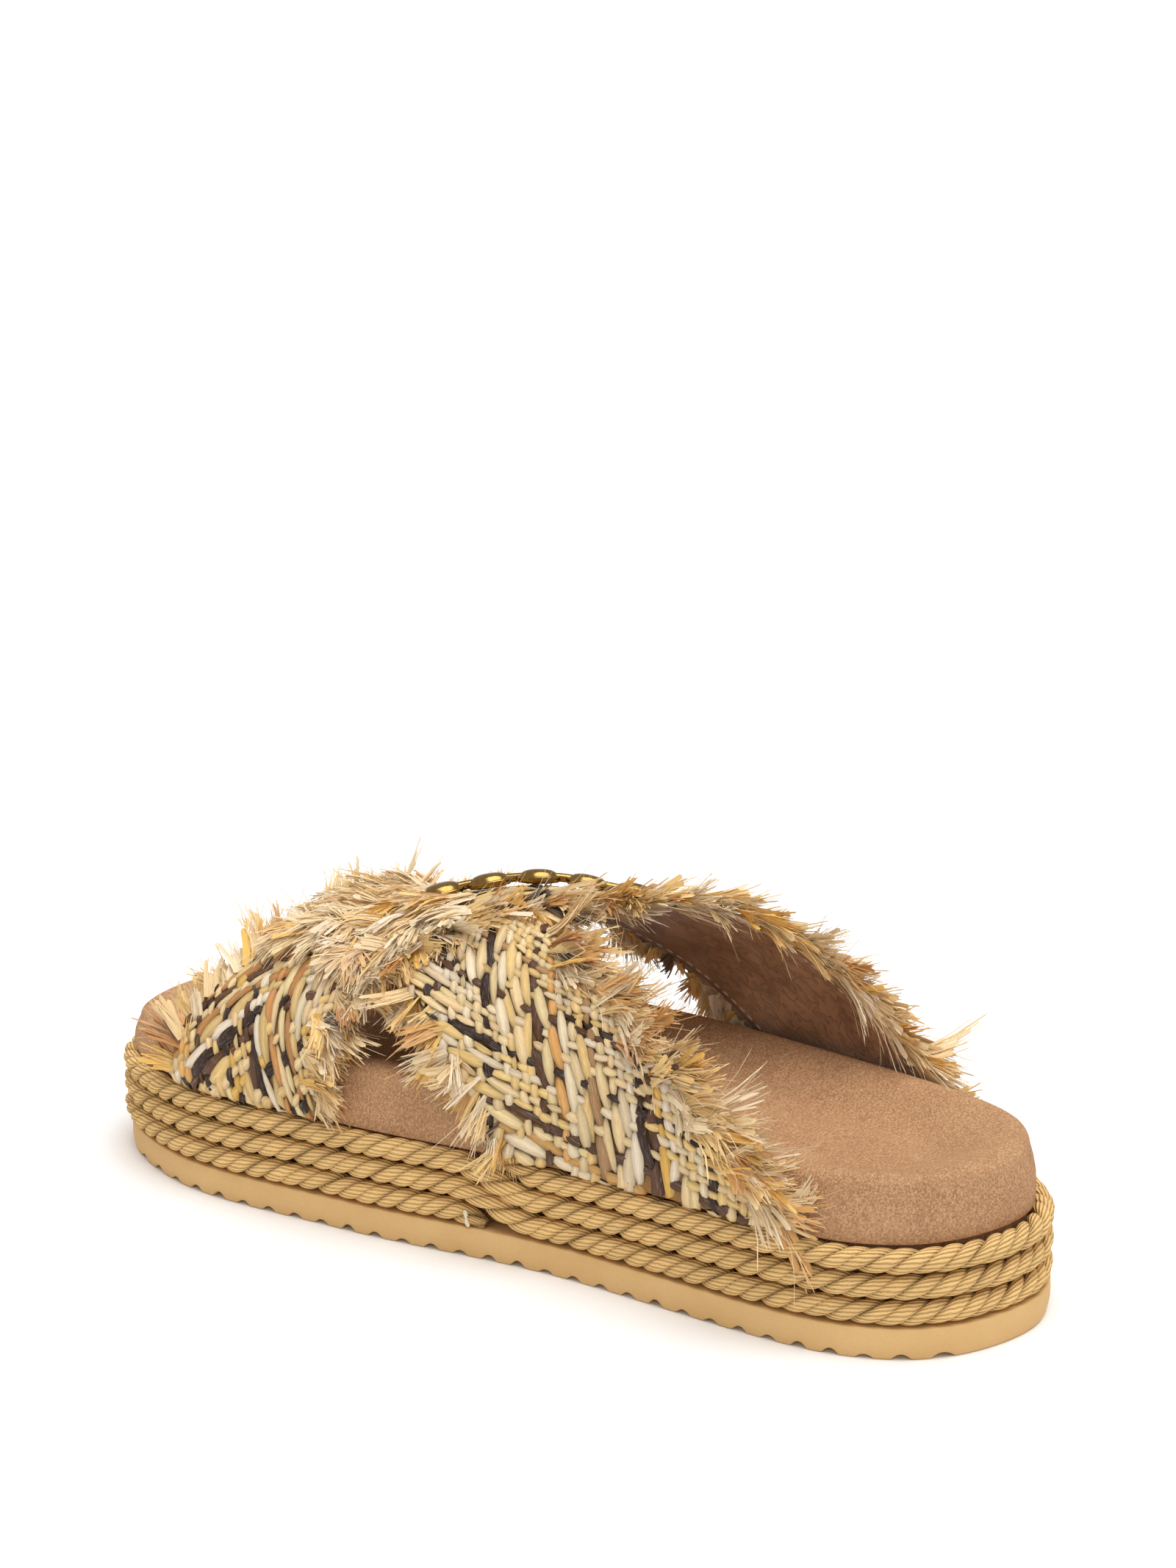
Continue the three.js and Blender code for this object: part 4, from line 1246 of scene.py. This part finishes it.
def make_beads(material):
    """Five plain domed beads, each in a thin rim, joined by a slim bar."""
    height = STRAP_WALL / 2 + STRIP_RELIEF + GAP + BEAD_HEIGHT / 2
    middle = np.interp(BEADS_ALONG, *OVER.middle)
    gold = linear(220, 185, 115)
    profile = np.array([
        (0.02, -0.5), (0.5, -0.48), (0.86, -0.4), (0.97, -0.26), (1.0, -0.14), (0.99, -0.04),
        (0.95, 0.02), (0.9, 0.03), (0.87, 0.0), (0.84, 0.05), (0.78, 0.2), (0.66, 0.34),
        (0.5, 0.43), (0.32, 0.48), (0.15, 0.498), (0.02, 0.5),
    ])
    r, z = profile[:, :1], profile[:, 1:]
    angle, bar_angle = turns(40), turns(10)[:, None]
    x = (r * np.cos(angle) * BEAD_LENGTH * 0.98 / 2)[..., None]
    y = (r * np.sin(angle) * BEAD_WIDTH / 2)[..., None]
    heap = Heap()
    for i in range(BEADS):
        at = middle + (i - (BEADS - 1) / 2) * BEAD_LENGTH
        centre = OVER.place(at, 0.5, height)
        along = unit(OVER.place(at + 2, 0.5, height) - OVER.place(at - 2, 0.5, height))
        across = unit(np.cross(unit(OVER.place(at, 0.5, height + 1) - centre), along))
        up = np.cross(along, across)
        points = centre + x * along + y * across + z[..., None] * up * BEAD_HEIGHT
        heap.add(points[None], tube_faces(len(r), len(angle)), gold, points)
        if i < BEADS - 1:
            bar = OVER.place(at + np.linspace(0, 1, 9) * BEAD_LENGTH, 0.5, height)
            ahead = unit(np.gradient(bar, axis=0))
            side = unit(np.cross(up, ahead))
            top = np.cross(ahead, side)[:, None]
            ring = (side[:, None] * np.cos(bar_angle) + top * np.sin(bar_angle)) * (BEAD_BAR / 2)
            points = bar[:, None] + ring
            heap.add(points[None], tube_faces(len(bar), len(bar_angle)), gold, points)
    return heap.piece("gilt_beads", material, "gilt", ["ornament"])


# Camera and light
PHOTO_HEIGHT = 2134
FOCAL_PIXELS = 5200
SENSOR = 36.0
VIEW_AZIMUTH = math.radians(-59.42)
VIEW_ELEVATION = math.radians(17.35)
VIEW_DISTANCE = 994.8
VIEW_TARGET = Vector((-2.31, -1.78, 26.3))
VIEW_MOVE = (-3.72, -88.19)
# Metres from the middle of the floor to its edges
FLOOR_REACH = 12.0
WORLD_STRENGTH = 0.52


def make_camera():
    data = bpy.data.cameras.new("camera")
    data.sensor_width = SENSOR
    data.lens = FOCAL_PIXELS / PHOTO_HEIGHT * SENSOR
    data.clip_start = 0.01
    data.clip_end = 50
    camera = add_object("camera", data)
    az, el = VIEW_AZIMUTH, VIEW_ELEVATION
    back = Vector((math.sin(az) * math.cos(el), -math.cos(az) * math.cos(el), math.sin(el)))
    right = Vector((math.cos(az), math.sin(az), 0))
    up = back.cross(right)
    place = VIEW_TARGET + back * VIEW_DISTANCE - right * VIEW_MOVE[0] - up * VIEW_MOVE[1]
    matrix = Matrix((right, up, back)).transposed().to_4x4()
    matrix.translation = place * MM
    camera.matrix_world = matrix
    bpy.context.scene.camera = camera


def make_stage():
    mesh = bpy.data.meshes.new("floor")
    far = FLOOR_REACH
    mesh.from_pydata([(-far, -far, 0), (far, -far, 0), (far, far, 0), (-far, far, 0)], [], [(0, 1, 2, 3)])
    s = Shade("floor_paper", 0.9, Specular_IOR_Level=0.1)
    color = s.mix(s.noise(300, 2), (0.93, 0.93, 0.93), (0.95, 0.95, 0.95))
    mesh.materials.append(s.finish(color, s.bump(s.noise(2, 2), 0.02)))
    floor = add_object("floor", mesh)
    world = bpy.data.worlds.new("studio")
    bpy.context.scene.world = world
    world.use_nodes = True
    background = world.node_tree.nodes["Background"].inputs
    background["Color"].default_value = (1, 1, 1, 1)
    background["Strength"].default_value = WORLD_STRENGTH
    bpy.context.scene.view_settings.view_transform = "Standard"


def add_light(name, place, angle, strength):
    """A very large soft light far off, as from a studio ceiling. place: where it shines from."""
    data = bpy.data.lights.new(name, "SUN")
    data.angle = math.radians(angle)
    data.energy = strength
    light = add_object(name, data)
    light.location = place
    light.rotation_euler = (-Vector(place)).to_track_quat("-Z", "Y").to_euler()


make_camera()
make_stage()
add_light("ceiling_light", (-0.08, -0.2, 1.2), 50, 2.5)

raffia = raffia_material("raffia_strips", 0.38, 0.5)
frayed = raffia_material("raffia_fibres", 0.6, 0.12)
leather = leather_material()
backing = backing_material()

make_outsole(foam_material())
make_rope(rope_material())
make_glue(glue_material())
make_footbed(suede_material())
make_lining("over_lining", OVER, OVER_CREASES, leather)
make_lining("under_lining", UNDER, UNDER_CREASES, leather)
make_backing("over_backing", OVER, backing, ["upper"])
make_backing("under_backing", UNDER, backing)
make_stitches(thread_material())
# Columns of the weave: first, last, and how many strands those of its arm float over, or None
OVER_ZONES = [(0, 4, None), (5, 13, 4), (14, 18, None), (19, 28, 4), (29, 33, None)]
UNDER_ZONES = [(0, 8, None), (9, 20, 5), (21, 26, None), (27, 31, 3), (32, 33, None)]
make_weave("over_weave", OVER, OVER_BANDS, -0.5, 0.47, OVER_ZONES, False, 0, raffia)
make_weave("under_weave", UNDER, UNDER_BANDS, 5.5, 0.74, UNDER_ZONES, True, 14, raffia)
# Stretch of the lower strap that the upper one hides
CROSSING = [(-26, 22)]
make_fringe("over_front_fringe", OVER, 1, [], (8, 16), (18, 14), (-24, 15), 0.06, frayed)
make_fringe("over_rear_fringe", OVER, 0, [], (9, 17), (6, 10), (8, 54), 0.06, frayed)
make_fringe("under_front_fringe", UNDER, 1, CROSSING, (6, 14), (6, 10), (26, 20), 0.08, frayed)
make_fringe("under_rear_fringe", UNDER, 0, CROSSING, (12, 20), (8, 8), (50, 30), 0.08, frayed)
make_thatch("over_thatch", OVER, (-36, 14), (0.02, 0.98), (11, 19), (0.6, 2.8), 165, frayed)
make_beads(gilt_material())
